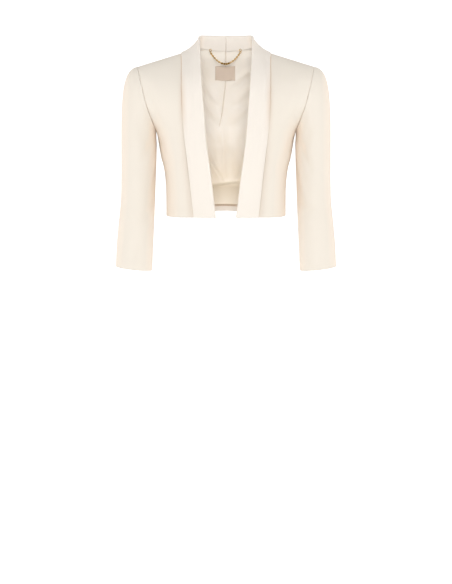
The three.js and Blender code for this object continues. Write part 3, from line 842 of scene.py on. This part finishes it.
def crepe(name, base, shade):
    """Matt crepe: fine pebbled grain, faint clouds of tone, and painted warm light where it faces sideways.
    """
    finish = Finish(name, {
        "Specular IOR Level": 0.25,
        "Sheen Weight": 0.12,
        "Sheen Roughness": 0.45,
        "Sheen Tint": (1, 0.97, 0.93, 1),
    })
    at = finish.place()
    clouds = finish.noise(at, 9, 2)
    grain = finish.noise(at, 1500, 3, 0.6)
    twist = finish.noise(at, 620, 2)
    sideways, _, _ = finish.split(finish.node("ShaderNodeNewGeometry", {}, {}).outputs["Normal"])
    # Painted light: the crepe is painted paler and warmer where its surface faces sideways.
    turned = ((sideways.size() - SIDE_LIGHT_FROM) * SIDE_LIGHT_STEEPNESS).maths("MAXIMUM", 0).maths("MINIMUM", 1)
    tone = finish.blend(turned, finish.blend(0.25 * clouds + 0.35 * grain, base, shade), PAINTED_SIDE_LIGHT_CREPE)
    finish.feed("Base Color", finish.blend(finish.own_shade(), tone, SHADED_CREPE))
    finish.feed("Roughness", 0.72 + 0.2 * grain)
    finish.bump(grain + 0.5 * twist, 0.00022, 0.7)
    return finish.material


def satin(name, base, shade):
    """Soft lining satin: fine diagonal twill, gentle shine, painted warm shade low down and under its bag."""
    finish = Finish(name, {
        "Specular IOR Level": 0.4,
        "Sheen Weight": 0.15,
        "Sheen Roughness": 0.35,
        "Sheen Tint": (1, 0.98, 0.92, 1),
    })
    u, v, _ = finish.split(finish.place("UV"))
    twill = ((u + v) * 9000).sine() * 0.5 + 0.5
    clouds = finish.noise(finish.place(), 26, 3)
    slubs = finish.noise(finish.place("UV"), 700, 2)
    _, _, z = finish.split(finish.place())
    # Painted shade: the satin grows warmer and darker below this height, towards the lining's hem.
    low = ((PAINTED_SHADE_BELOW - z) * 4.5).maths("MINIMUM", 0.5).maths("MAXIMUM", 0)
    tone = finish.blend(0.4 * clouds + 0.15 * slubs + low, base, shade)
    # Painted shadow: a darker band on the satin just under the lining's bag.
    below = (PAINTED_BAG_SHADOW["z"] - z) * (1 / PAINTED_BAG_SHADOW["below"])
    above = (z - PAINTED_BAG_SHADOW["z"]) * (1 / PAINTED_BAG_SHADOW["above"])
    bag_shadow_share = (1 - below.maths("MAXIMUM", above)).maths("MAXIMUM", 0)
    tone = finish.blend(PAINTED_BAG_SHADOW["share"] * bag_shadow_share, tone, PAINTED_BAG_SHADOW["tone"])
    finish.feed("Base Color", finish.blend(finish.own_shade(), tone, SHADED_SATIN))
    finish.feed("Roughness", 0.34 + 0.12 * slubs + 0.05 * twill)
    finish.bump(twill * 0.6 + slubs * 0.4, 0.00008, 0.5)
    return finish.material


def woven_ribbon(name, base, shade):
    """A bare ribbon for the label: fine crosswise ribs over a finer warp."""
    finish = Finish(name, {"Specular IOR Level": 0.35, "Sheen Weight": 0.1, "Sheen Roughness": 0.4})
    u, v, _ = finish.split(finish.place("UV"))
    ribs = (v * 7800).sine() * 0.5 + 0.5
    warp = (u * 11000).sine() * 0.5 + 0.5
    fuzz = finish.noise(finish.place("UV"), 900, 2)
    finish.feed("Base Color", finish.blend(0.35 * ribs + 0.25 * fuzz, base, shade))
    finish.feed("Roughness", 0.5 + 0.2 * fuzz)
    finish.bump(ribs * 0.6 + warp * 0.3 + fuzz * 0.3, 0.00012, 0.8)
    return finish.material


def gilt(name, base, worn):
    """Polished gilt, duller in small worn patches."""
    finish = Finish(name, {"Metallic": 1})
    wear = finish.noise(finish.place(), 900, 3)
    finish.feed("Base Color", finish.blend(wear, base, worn))
    finish.feed("Roughness", 0.2 + 0.16 * wear)
    return finish.material


def thread(name, base, shade):
    """Twisted sewing thread."""
    finish = Finish(name, {"Specular IOR Level": 0.3, "Sheen Weight": 0.2, "Sheen Roughness": 0.4})
    twist = finish.noise(finish.place(), 2600, 2)
    finish.feed("Base Color", finish.blend(twist, base, shade))
    finish.feed("Roughness", 0.55 + 0.2 * twist)
    finish.bump(twist, 0.0001, 0.6)
    return finish.material


# Tones, where the crepe's painted side light sets in, and heights in metres for the satin's painted shade
SIDE_LIGHT_FROM = 0.6
SIDE_LIGHT_STEEPNESS = 2.1
PAINTED_SHADE_BELOW = -0.17
PAINTED_BAG_SHADOW = {"z": -0.306, "above": 0.016, "below": 0.06, "share": 0.9, "tone": colour(203, 187, 162)}
PAINTED_SIDE_LIGHT_CREPE = colour(242, 226, 208)
SHADED_CREPE = colour(196, 160, 126)
SHADED_SATIN = colour(176, 138, 94)
CREPE = crepe("ivory_crepe", colour(227, 217, 203), colour(222, 209, 191))
# The same crepe painted lighter, as if more brightly lit, for the collar and the back hem's facing.
PAINTED_LIGHTER_CREPE = crepe("ivory_crepe_painted_lighter", colour(232, 222, 210), colour(225, 213, 197))
SATIN = satin("cream_satin", colour(250, 244, 235), colour(239, 223, 198))
RIBBON = woven_ribbon("label_ribbon", colour(226, 208, 190), colour(206, 186, 168))
GILT = gilt("pale_gilt", colour(220, 178, 84), colour(150, 110, 40))
BEAD_GILT = gilt("aged_gilt", colour(172, 132, 60), colour(96, 70, 30))
THREAD = thread("cream_thread", colour(238, 226, 204), colour(214, 198, 172))


# Things repeated along a line, by Geometry Nodes
def repeat_tree():
    """A tree that sets one piece at even steps along a line, each turned about the line by a set angle."""
    tree = bpy.data.node_groups.new("repeat_along_line", "GeometryNodeTree")
    sockets = {}
    tree.interface.new_socket("Geometry", in_out="OUTPUT", socket_type="NodeSocketGeometry")
    for name, kind in (
        ("Geometry", "NodeSocketGeometry"),
        ("Spacing", "NodeSocketFloat"),
        ("Turn", "NodeSocketFloat"),
        ("Piece", "NodeSocketObject"),
        ("Finish", "NodeSocketMaterial"),
    ):
        sockets[name] = tree.interface.new_socket(name, in_out="INPUT", socket_type=kind).identifier
    nodes, links = tree.nodes, tree.links

    def node(kind, **settings):
        made = nodes.new(kind)
        for name, value in settings.items():
            setattr(made, name, value)
        return made

    given = node("NodeGroupInput")
    line = node("GeometryNodeMeshToCurve")
    points = node("GeometryNodeCurveToPoints", mode="LENGTH")
    piece = node("GeometryNodeObjectInfo")
    index = node("GeometryNodeInputIndex")
    angle = node("ShaderNodeMath", operation="MULTIPLY")
    axis = node("ShaderNodeCombineXYZ")
    turned = node("FunctionNodeRotateRotation", rotation_space="LOCAL")
    euler = node("FunctionNodeEulerToRotation")
    set_out = node("GeometryNodeInstanceOnPoints")
    real = node("GeometryNodeRealizeInstances")
    finish = node("GeometryNodeSetMaterial")
    result = node("NodeGroupOutput")
    for source, target in (
        (given.outputs["Geometry"], line.inputs["Mesh"]),
        (line.outputs["Curve"], points.inputs["Curve"]),
        (given.outputs["Spacing"], points.inputs["Length"]),
        (given.outputs["Piece"], piece.inputs["Object"]),
        (index.outputs[0], angle.inputs[0]),
        (given.outputs["Turn"], angle.inputs[1]),
        (angle.outputs[0], axis.inputs["Z"]),
        (axis.outputs[0], euler.inputs[0]),
        (points.outputs["Rotation"], turned.inputs["Rotation"]),
        (euler.outputs[0], turned.inputs["Rotate By"]),
        (points.outputs["Points"], set_out.inputs["Points"]),
        (piece.outputs["Geometry"], set_out.inputs["Instance"]),
        (turned.outputs[0], set_out.inputs["Rotation"]),
        (set_out.outputs[0], real.inputs[0]),
        (real.outputs[0], finish.inputs["Geometry"]),
        (given.outputs["Finish"], finish.inputs["Material"]),
        (finish.outputs[0], result.inputs[0]),
    ):
        links.new(source, target)
    return tree, sockets


REPEAT, REPEAT_INPUTS = repeat_tree()


def along(name, lines, piece, spacing, turn, material):
    """Sets copies of a small piece along lines, and returns them as one plain mesh."""
    mesh = bpy.data.meshes.new(name)
    vertices = np.concatenate(lines) * MM
    edges = []
    first = 0
    for line in lines:
        edges += [(k, k + 1) for k in range(first, first + len(line) - 1)]
        first += len(line)
    mesh.from_pydata(vertices.tolist(), edges, [])
    carrier = bpy.data.objects.new(name + "_line", mesh)
    bpy.context.scene.collection.objects.link(carrier)
    modifier = carrier.modifiers.new("repeat", "NODES")
    modifier.node_group = REPEAT
    for key, value in (("Spacing", spacing * MM), ("Turn", turn), ("Piece", piece), ("Finish", material)):
        modifier[REPEAT_INPUTS[key]] = value
    bpy.context.view_layer.update()
    seen = carrier.evaluated_get(bpy.context.evaluated_depsgraph_get())
    made = bpy.data.meshes.new_from_object(seen)
    made.name = name
    made.shade_smooth()
    bpy.data.objects.remove(carrier)
    bpy.data.objects.remove(piece)
    done = bpy.data.objects.new(name, made)
    bpy.context.scene.collection.objects.link(done)
    return done


def ring_mesh(long_half, wide_half, wire, around=14, sides=8):
    """A wire ring or oval link whose long way is Z, lying in the plane of X and Z."""
    a = 2 * math.pi * np.arange(around) / around
    b = 2 * math.pi * np.arange(sides) / sides
    path = xyz(wide_half * np.cos(a), 0, long_half * np.sin(a))
    out = unit(xyz(np.cos(a) / wide_half, 0, np.sin(a) / long_half))
    points = path[:, None] + out[:, None] * wire * np.cos(b)[:, None] + xyz(0, wire * np.sin(b), 0)
    faces = [
        (i * sides + j, (i + 1) % around * sides + j, (i + 1) % around * sides + (j + 1) % sides,
         i * sides + (j + 1) % sides)
        for i in range(around)
        for j in range(sides)
    ]
    return points.reshape(-1, 3), faces


def ball_mesh(radius, long_share=1.0, around=12, rings=8):
    """A ball, or a grain longer along Z."""
    points = [(0, 0, radius * long_share)]
    for k in range(1, rings):
        tilt = math.pi * k / rings
        for j in range(around):
            turn = 2 * math.pi * j / around
            level = radius * math.sin(tilt)
            height = radius * long_share * math.cos(tilt)
            points.append((level * math.cos(turn), level * math.sin(turn), height))
    points.append((0, 0, -radius * long_share))
    last = len(points) - 1
    faces = []
    for j in range(around):
        k = (j + 1) % around
        faces.append((0, 1 + j, 1 + k))
        faces.append((last, last - around + k, last - around + j))
        for i in range(rings - 2):
            a, b = 1 + i * around, 1 + (i + 1) * around
            faces.append((a + j, b + j, b + k, a + k))
    return points, faces


def plain_mesh(name, points, faces, material):
    mesh = bpy.data.meshes.new(name)
    mesh.from_pydata((np.asarray(points, float) * MM).tolist(), [], faces)
    mesh.shade_smooth()
    mesh.materials.append(material)
    piece = bpy.data.objects.new(name, mesh)
    bpy.context.scene.collection.objects.link(piece)
    return piece


# Camera: the photo was taken level with the shoulders, from 5 m
CAMERA_DISTANCE = 5.0
CAMERA_PITCH = 6.19
LENS = 135

camera = bpy.data.objects.new("camera", bpy.data.cameras.new("camera"))
camera.data.lens = LENS
camera.data.sensor_width = 36
camera.data.clip_end = 100
camera.location = (0, -CAMERA_DISTANCE, 0)
camera.rotation_euler = (math.radians(90 - CAMERA_PITCH), 0, 0)
bpy.context.scene.collection.objects.link(camera)
bpy.context.scene.camera = camera


# The hanging chain, its rings and beads
def stand_facing(x):
    """The direction out of the collar's stand at x, seen from above."""
    run = stand_foot(abs(x) + 1) - stand_foot(abs(x) - 1)
    return unit(np.array([-math.copysign(run[1], run[1] * x), abs(run[0]), 0]))


def ring_centre(x):
    out = abs(x)
    behind = off_skin(out, neckline(out), 1, -CLOTH - LAID_GAP - LINING_CLOTH)
    direction = np.array([math.copysign(stand_facing(out)[0], x), stand_facing(out)[1], 0])
    return np.array([x, behind[1], RING["height"]]) - direction * (SEAM_GAP + RING["wire"])


def chain_points(count=60):
    """The chain's own line, hanging between its rings."""
    drop = RING["radius"] + RING["wire"] + SEAM_GAP + CHAIN["thick"] / 2
    a, b = ring_centre(CHAIN["right"]), ring_centre(CHAIN["left"])
    t = steps(count)[:, None]
    line = mix(a, b, t)
    line[:, 2:] -= drop + (CHAIN["sag"] - drop) * 4 * t * (1 - t)
    return line


LINK = {"long": 2.6, "wide": 1.45, "wire": 0.6, "spacing": 3.2}
BEAD = {"radius": 2.5, "spacing": 5.1, "count": 4}

chain_line = chain_points()
link_points, link_faces = ring_mesh(LINK["long"], LINK["wide"], LINK["wire"])
chain = along(
    "hanger_chain_links",
    [chain_line],
    plain_mesh("link", link_points, link_faces, GILT),
    LINK["spacing"],
    math.pi / 2,
    GILT,
)
chain_length = float(lengths_along(chain_line[:, None], 0)[-1, 0])
gaps = lengths_along(chain_line[:, None], 0)[:, 0] - chain_length / 2
half_run = BEAD["spacing"] * (BEAD["count"] - 1) / 2
bead_places = np.linspace(-half_run, half_run, 40)
bead_line = np.stack([np.interp(bead_places, gaps, chain_line[:, k]) for k in range(3)], -1)
beads = along(
    "hanger_chain_beads",
    [bead_line],
    plain_mesh("bead", *ball_mesh(BEAD["radius"]), BEAD_GILT),
    BEAD["spacing"] * 0.999,
    0,
    BEAD_GILT,
)

rings = []
for name in ("left", "right"):
    x = CHAIN[name]
    centre = ring_centre(x)
    points, faces = ring_mesh(RING["radius"], RING["radius"], RING["wire"], 40, 14)
    across = stand_facing(abs(x))
    wide = np.array([across[1], -math.copysign(across[0], x), 0])
    deep = np.array([math.copysign(across[0], x), across[1], 0])
    turned = points[:, :1] * wide + points[:, 1:2] * deep + points[:, 2:] * (0, 0, 1)
    ring = plain_mesh(f"chain_ring_{name}_wire", turned + centre, faces, GILT)
    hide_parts(f"chain_ring_{name}")
    rings.append(ring)

for piece in (chain, beads, *rings):
    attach(piece, "root")
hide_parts("hanger_chain")
(chain_line[0] * MM).tolist()
(chain_line * MM).tolist()


# Cloth pieces
def cloth(piece, node):
    """Every sheet of cloth rides on the one body and stands for its own node."""
    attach(piece, "root")
    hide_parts(node)
    return piece


# Fronts
def fading(distance, reach):
    """1 at no distance or less, falling straight to 0 at `reach`."""
    return np.clip(1 - distance / reach, 0, 1)


def front_shade_at(x, z):
    """Shade beside the lapel: a line along its edge, a band beside its low part and one by its upper part."""
    beyond = x - read(OPENING, "lapel", z)
    line = SEAM_SHADE["share"] * hill(beyond / SEAM_SHADE["half"])
    line *= ease((z - SEAM_SHADE["foot"]) / SEAM_SHADE["fades"])
    low = LOW_SHADE["share"] * fading(beyond, LOW_SHADE["reach"]) ** 1.5
    low *= ease((LOW_SHADE["top"] - z) / LOW_SHADE["fades"])
    high = HIGH_SHADE["share"] * fading(beyond, HIGH_SHADE["reach"])
    high *= hill((z - HIGH_SHADE["middle"]) / HIGH_SHADE["half"])
    return np.clip(line + low + high, 0, 1)


FRONT_HIGHEST_FOLD = 1.2
front_x, front_z = front_places()
front_facing = facing(front_x, front_z, -1)
front_shade = front_shade_at(front_x, front_z)
for name, sign in (("left", 1), ("right", -1)):
    creases = folds_at(FRONT_FOLDS[sign], front_x, front_z)
    face = skin(front_x, front_z, -1) + front_facing * np.minimum(creases, FRONT_HIGHEST_FOLD)[..., None]
    normals = front_facing
    if sign < 0:
        face, normals = mirrored(face), mirrored(normals)
    edges = (0.6, 0.1, 0.3, 0.2)
    piece = shell(f"front_{name}_cloth", face, normals, CLOTH, CREPE, edges, shade=front_shade)
    cloth(piece, f"front_{name}")

# Back
back_x, back_z = back_places()
back_facing = facing(back_x, back_z, 1)
back_face = skin(back_x, back_z, 1) + back_facing * folds_at(BACK_FOLDS, back_x, back_z)[..., None]
piece = shell("back_cloth", back_face, back_facing, CLOTH, CREPE, (0.6, 0.1, 0.2, 0.2))
cloth(piece, "back")

# Sleeves, whose folds are placed as on one that is as wide all the way down
SLEEVE_ROUND = 250
sleeve = sleeve_net()
sleeve_normals = -net_normals(sleeve, closed=True)
around = lengths_along(np.concatenate([sleeve, sleeve[:, :1]], 1), 1)
around = (around * (SLEEVE_ROUND / around[:, -1:]))[:, :-1]
for name, sign in (("left", 1), ("right", -1)):
    height = folds_at(SLEEVE_FOLDS[sign], around, sleeve[..., 2])
    near_seam = ease(np.arange(len(sleeve)) / 8)[:, None]
    face = sleeve + sleeve_normals * (height * near_seam)[..., None]
    normals = sleeve_normals
    if sign < 0:
        face, normals = mirrored(face), mirrored(normals)
    piece = shell(f"sleeve_{name}_cloth", face, normals, CLOTH, CREPE, (0.2, 0.6), closed=True)
    cloth(piece, f"sleeve_{name}")

# Collar
collar = collar_net()
collar_normals = net_normals(collar)
collar_normals[0, :, 0] = 0
collar_normals = unit(collar_normals)
from_edge = lengths_along(collar[:, ::-1], 1)[:, ::-1]
on_front = (collar[..., 1] < 0) * hill((collar[..., 2] - LAPEL_SHADE["middle"]) / LAPEL_SHADE["half"])
collar_shade = LAPEL_SHADE["share"] * fading(from_edge, LAPEL_SHADE["reach"]) ** 1.3 * on_front
for name, sign in (("left", 1), ("right", -1)):
    face = collar + collar_normals * COLLAR_CLOTH / 2
    normals = collar_normals
    if sign < 0:
        face, normals = mirrored(face), mirrored(normals)
    edges = (0.1, 0.5, 0.12, 0.7)
    # The collar wears the crepe painted lighter, with painted shade near its free edge on the front.
    piece = shell(f"collar_{name}_cloth", face, normals, COLLAR_CLOTH, PAINTED_LIGHTER_CREPE, edges, shade=collar_shade)
    cloth(piece, f"collar_{name}")


# Lining of the back
def back_troughs(x, z):
    """How far the back's troughs reach in, below nothing, so that what lies inside stays clear of them."""
    return np.minimum(folds_at(BACK_FOLDS, x, z), 0)


def pleat_at(x, z):
    """The centre pleat: a layer that rises slowly to its folded edge and drops sharply beyond it."""
    line = read(PLEAT_LINE, "x", z)
    beyond = x - line
    rise = np.clip(1 + beyond / PLEAT_WIDE, 0, 1) ** 2 * (beyond <= 0)
    drop = np.clip(1 - beyond / PLEAT_LIP, 0, 1) * (beyond > 0)
    groove = ease(beyond / PLEAT_LIP) * (1 - ease((beyond - PLEAT_LIP) / PLEAT_GROOVE_WIDE))
    foot = ease((z - PLEAT_LINE["z"][0]) / 26)
    return (PLEAT_HIGH * (rise + drop) - PLEAT_GROOVE * groove) * foot


def lining_folds(x, z):
    """The lining's folds, whose troughs stay clear of the back."""
    folds = folds_at(LINING_FOLDS, x, z)
    deepest = LINING_EASE - 0.1
    return np.where(folds < 0, deepest * np.tanh(folds / deepest), folds)


def bag_at(x, z):
    """The lining's spare length hangs in a soft bag above the hem: round above, and tucked in below."""
    lowest = BAG["z"] + 3 * np.sin(x / 21) - 0.0022 * x**2
    t = z - lowest
    profile = np.where(t > 0, hill(t / BAG["rise"]), hill(t / BAG["half"]))
    return profile * hill(x / BAG["reach"])


def lining_places(half_columns=90, side_rows=90, armhole_rows=80):
    """The x and z of the lining's net, its columns crowded beside the centre pleat."""
    inner, outer = panel_rows(side_rows, armhole_rows)
    start = HEM_TURN / (BACK_NECK - BACK_HEM)
    inner, outer = mix(start, 1, inner), mix(HEM_TURN / (SHOULDER_TIP - SIDE_HEM), 1, outer)
    tip_height = mix(SIDE_HEM, SHOULDER_TIP, outer)
    out_x = outer_end(tip_height)
    line = read(PLEAT_LINE, "x", mix(BACK_HEM, BACK_NECK, inner))
    share = np.linspace(-1, 1, 2 * half_columns + 1)
    reach_out = np.where(share < 0, out_x + line, out_x - line)
    x = line + np.sign(share) * np.abs(share) ** 2.1 * reach_out
    reach = np.abs(x) / out_x
    top = reach * read(ARMHOLE, "out", SHOULDER_TIP)
    z = mix(mix(BACK_HEM, SIDE_HEM, reach), top_of_back(top), mix(inner, outer, reach))
    return x, z


lining_x, lining_z = lining_places()
bag = bag_at(lining_x, lining_z)
inset = CLOTH + LAID_GAP + pleat_at(lining_x, lining_z) + BAG["deep"] * bag
near_edge = ease((1 - np.abs(lining_x) / outer_end(lining_z)) / 0.06)
near_edge *= ease((top_of_back(np.abs(lining_x)) - lining_z) / 16)
above_hem = ease((lining_z - lining_z[:1]) / 22)
inset += (lining_folds(lining_x, lining_z) * above_hem + LINING_EASE) * near_edge
inset = np.maximum(inset, CLOTH + LAID_GAP - back_troughs(lining_x, lining_z))
lining_face = off_skin(lining_x, lining_z, 1, -inset)
at_neck = 1 - ease((np.abs(lining_x[-1]) - NECK_HALF_WIDTH + 1) / 5)
neck_drop = neckline(lining_face[-1, :, 0]) + SEAM_GAP - NECK_SEAM - lining_face[-1, :, 2]
near_top = ease(1 - (lining_z[-1] - lining_z) / 20)
lining_face[..., 2] += neck_drop * at_neck * near_top - BAG["droop"] * bag**1.5
lining_facing = net_normals(lining_face)
beyond_pleat = lining_x - read(PLEAT_LINE, "x", lining_z)
pleat_shade = PLEAT_SHADE["share"] * hill((beyond_pleat - PLEAT_SHADE["beside"]) / PLEAT_SHADE["half"])
pleat_shade *= ease((lining_z - PLEAT_LINE["z"][0]) / PLEAT_SHADE["fades"])
hem_shade = LINING_HEM_SHADE["share"] * fading(lining_z - lining_z[:1], LINING_HEM_SHADE["high"])
lining_shade = np.clip(pleat_shade + hem_shade, 0, 1)
edges = (0.35, 0.08, 0.2, 0.2)
piece = shell("back_lining_cloth", lining_face, lining_facing, LINING_CLOTH, SATIN, edges, shade=lining_shade)
cloth(piece, "back_lining")

# The back hem's turned-up facing, tucked behind the lining's lower edge
facing_shares = steps(8)[:, None]
hem_share = np.linspace(-1, 1, 121)
hem_x = hem_share * read(BODY, "half", SIDE_HEM + HEM_TURN) * 0.995
hem_z = mix(BACK_HEM, SIDE_HEM, np.abs(hem_share)) + (HEM_TURN - LINING_DROP_GAP) * facing_shares
hem_face = off_skin(hem_x, hem_z, 1, back_troughs(hem_x, hem_z) - CLOTH - SEAM_GAP)
edges = (0.5, 0.3, 0.3, 0.3)
hem_facing = facing(hem_x, hem_z, 1)
top_share = fading(1 - facing_shares, FACING_SHADE["top_part"])
shade = mix(FACING_SHADE["all_over"], FACING_SHADE["at_top"], top_share)
# The facing wears the crepe painted lighter, with painted shade along its top and a little all over.
piece = shell("back_hem_facing_cloth", hem_face, hem_facing, HEM_CLOTH, PAINTED_LIGHTER_CREPE, edges, shade=shade)
cloth(piece, "back_hem_facing")


# Label, bare, with a line of stitches along each side
def label_stand(x, z):
    """How far inside the back's skin the label's underside lies, bridging the pleat's edge."""
    from_pleat = np.clip((x - PLEAT_TOP) / (LABEL["width"] / 2), -1, 1)
    over_pleat = PLEAT_HIGH * (1 + np.cos(math.pi * from_pleat)) / 2
    return CLOTH + LAID_GAP + LINING_CLOTH + over_pleat + lining_folds(x, z) + LINING_EASE + SEAM_GAP


label_u = np.linspace(-0.5, 0.5, 49)
label_v = steps(36)[:, None]
label_x = LABEL["x"] + LABEL["width"] * label_u + 0 * label_v
label_z = LABEL["top"] - LABEL["height"] * label_v + 0 * label_u
label_inset = label_stand(label_x, label_z)
label_face = off_skin(label_x, label_z, 1, -label_inset)
label_facing = facing(label_x, label_z, 1)
edges = (0.25, 0.25, 0.25, 0.25)
label = shell("neck_label_ribbon", label_face, label_facing, LABEL_CLOTH, RIBBON, edges)

STITCH = {"long": 2.0, "thick": 0.16, "spacing": 2.9, "inset": 1.6, "proud": 0.1}


def label_line(x, z):
    """A line of stitches on the label's face."""
    return off_skin(x, z, 1, -label_stand(x, z) - LABEL_CLOTH - STITCH["proud"])


label_sides = [LABEL["x"] - LABEL["width"] / 2, LABEL["x"] + LABEL["width"] / 2]
label_ends = [LABEL["top"], LABEL["top"] - LABEL["height"]]
across_label, down_label = mix(*label_sides, steps(60)), mix(*label_ends, steps(60))
label_lines = [label_line(across_label, 0 * down_label + z) for z in (
    label_ends[0] - STITCH["inset"],
    label_ends[1] + STITCH["inset"],
)]
label_lines += [label_line(0 * across_label + x, down_label) for x in (
    label_sides[0] + STITCH["inset"],
    label_sides[1] - STITCH["inset"],
)]
stitches = along(
    "neck_label_stitches",
    label_lines,
    plain_mesh("stitch", *ball_mesh(STITCH["thick"], STITCH["long"] / 2 / STITCH["thick"], 6, 6), THREAD),
    STITCH["spacing"],
    0,
    THREAD,
)
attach(stitches, "root")
cloth(label, "neck_label")


# Floor and backdrop: one round white sweep, open at the top
def sweep():
    floor_z, radius, rise = -1400, 7000, 2500
    profile = [(0, floor_z), (radius - rise, floor_z)]
    for k in range(1, 17):
        turn = math.pi / 2 * k / 16
        profile.append((radius - rise + rise * math.sin(turn), floor_z + rise * (1 - math.cos(turn))))
    profile.append((radius, 9000))
    count = 96
    points = [(0, 0, floor_z)]
    for out, up in profile[1:]:
        for k in range(count):
            turn = 2 * math.pi * k / count
            points.append((out * math.cos(turn), out * math.sin(turn), up))
    faces = [(0, 1 + k, 1 + (k + 1) % count) for k in range(count)]
    for i in range(len(profile) - 2):
        a, b = 1 + i * count, 1 + (i + 1) * count
        faces += [(a + k, b + k, b + (k + 1) % count, a + (k + 1) % count) for k in range(count)]
    return points, faces


# The paper's painted glow in front of the jacket and behind it, then its own colour and its cloudy tone.
PAPER = {
    "in_front": (0.36, 0.36, 0.36, 1),
    "behind": (0.95, 0.95, 0.95, 1),
    "own": (0.3, 0.3, 0.3, 1),
    "cloudy": (0.29, 0.29, 0.29, 1),
}


def paper():
    """White paper that glows with painted light, brighter behind the jacket and dimmer in front of it."""
    finish = Finish("white_sweep", {"Roughness": 0.9, "Specular IOR Level": 0.1, "Emission Strength": 1})
    at = finish.place()
    _, y, _ = finish.split(at)
    # Painted light: the paper's glow grows from front to back.
    behind = (y * 0.28 + 0.8).maths("MINIMUM", 1).maths("MAXIMUM", 0)
    finish.feed("Emission Color", finish.blend(behind, PAPER["in_front"], PAPER["behind"]))
    finish.feed("Base Color", finish.blend(finish.noise(at, 0.6, 1), PAPER["own"], PAPER["cloudy"]))
    return finish.material


backdrop = plain_mesh("white_sweep", *sweep(), paper())

# Light: a white room, a large soft light above the camera and a faint one at each side
ROOM_LIGHT = 0.12
COOL_WHITE = (0.95, 1, 1.07)
world = bpy.data.worlds.new("studio")
world.use_nodes = True
world.node_tree.nodes["Background"].inputs["Color"].default_value = (*COOL_WHITE, 1)
world.node_tree.nodes["Background"].inputs["Strength"].default_value = ROOM_LIGHT
bpy.context.scene.world = world

for name, place, size, power in (
    ("front_light", (0, -5.1, 1.1), 2.0, 157),
    ("left_light", (-4.4, -1.6, 0.6), 1.6, 22),
    ("right_light", (4.4, -1.6, 0.6), 1.6, 22),
):
    lamp = bpy.data.objects.new(name, bpy.data.lights.new(name, "AREA"))
    lamp.data.shape = "DISK"
    lamp.data.size = size
    lamp.data.energy = power
    lamp.data.color = COOL_WHITE
    lamp.location = place
    lamp.rotation_euler = (-lamp.location).to_track_quat("-Z", "Y").to_euler()
    lamp.visible_camera = False
    bpy.context.scene.collection.objects.link(lamp)

bpy.context.scene.view_settings.view_transform = "Standard"
bpy.context.scene.view_settings.look = "None"
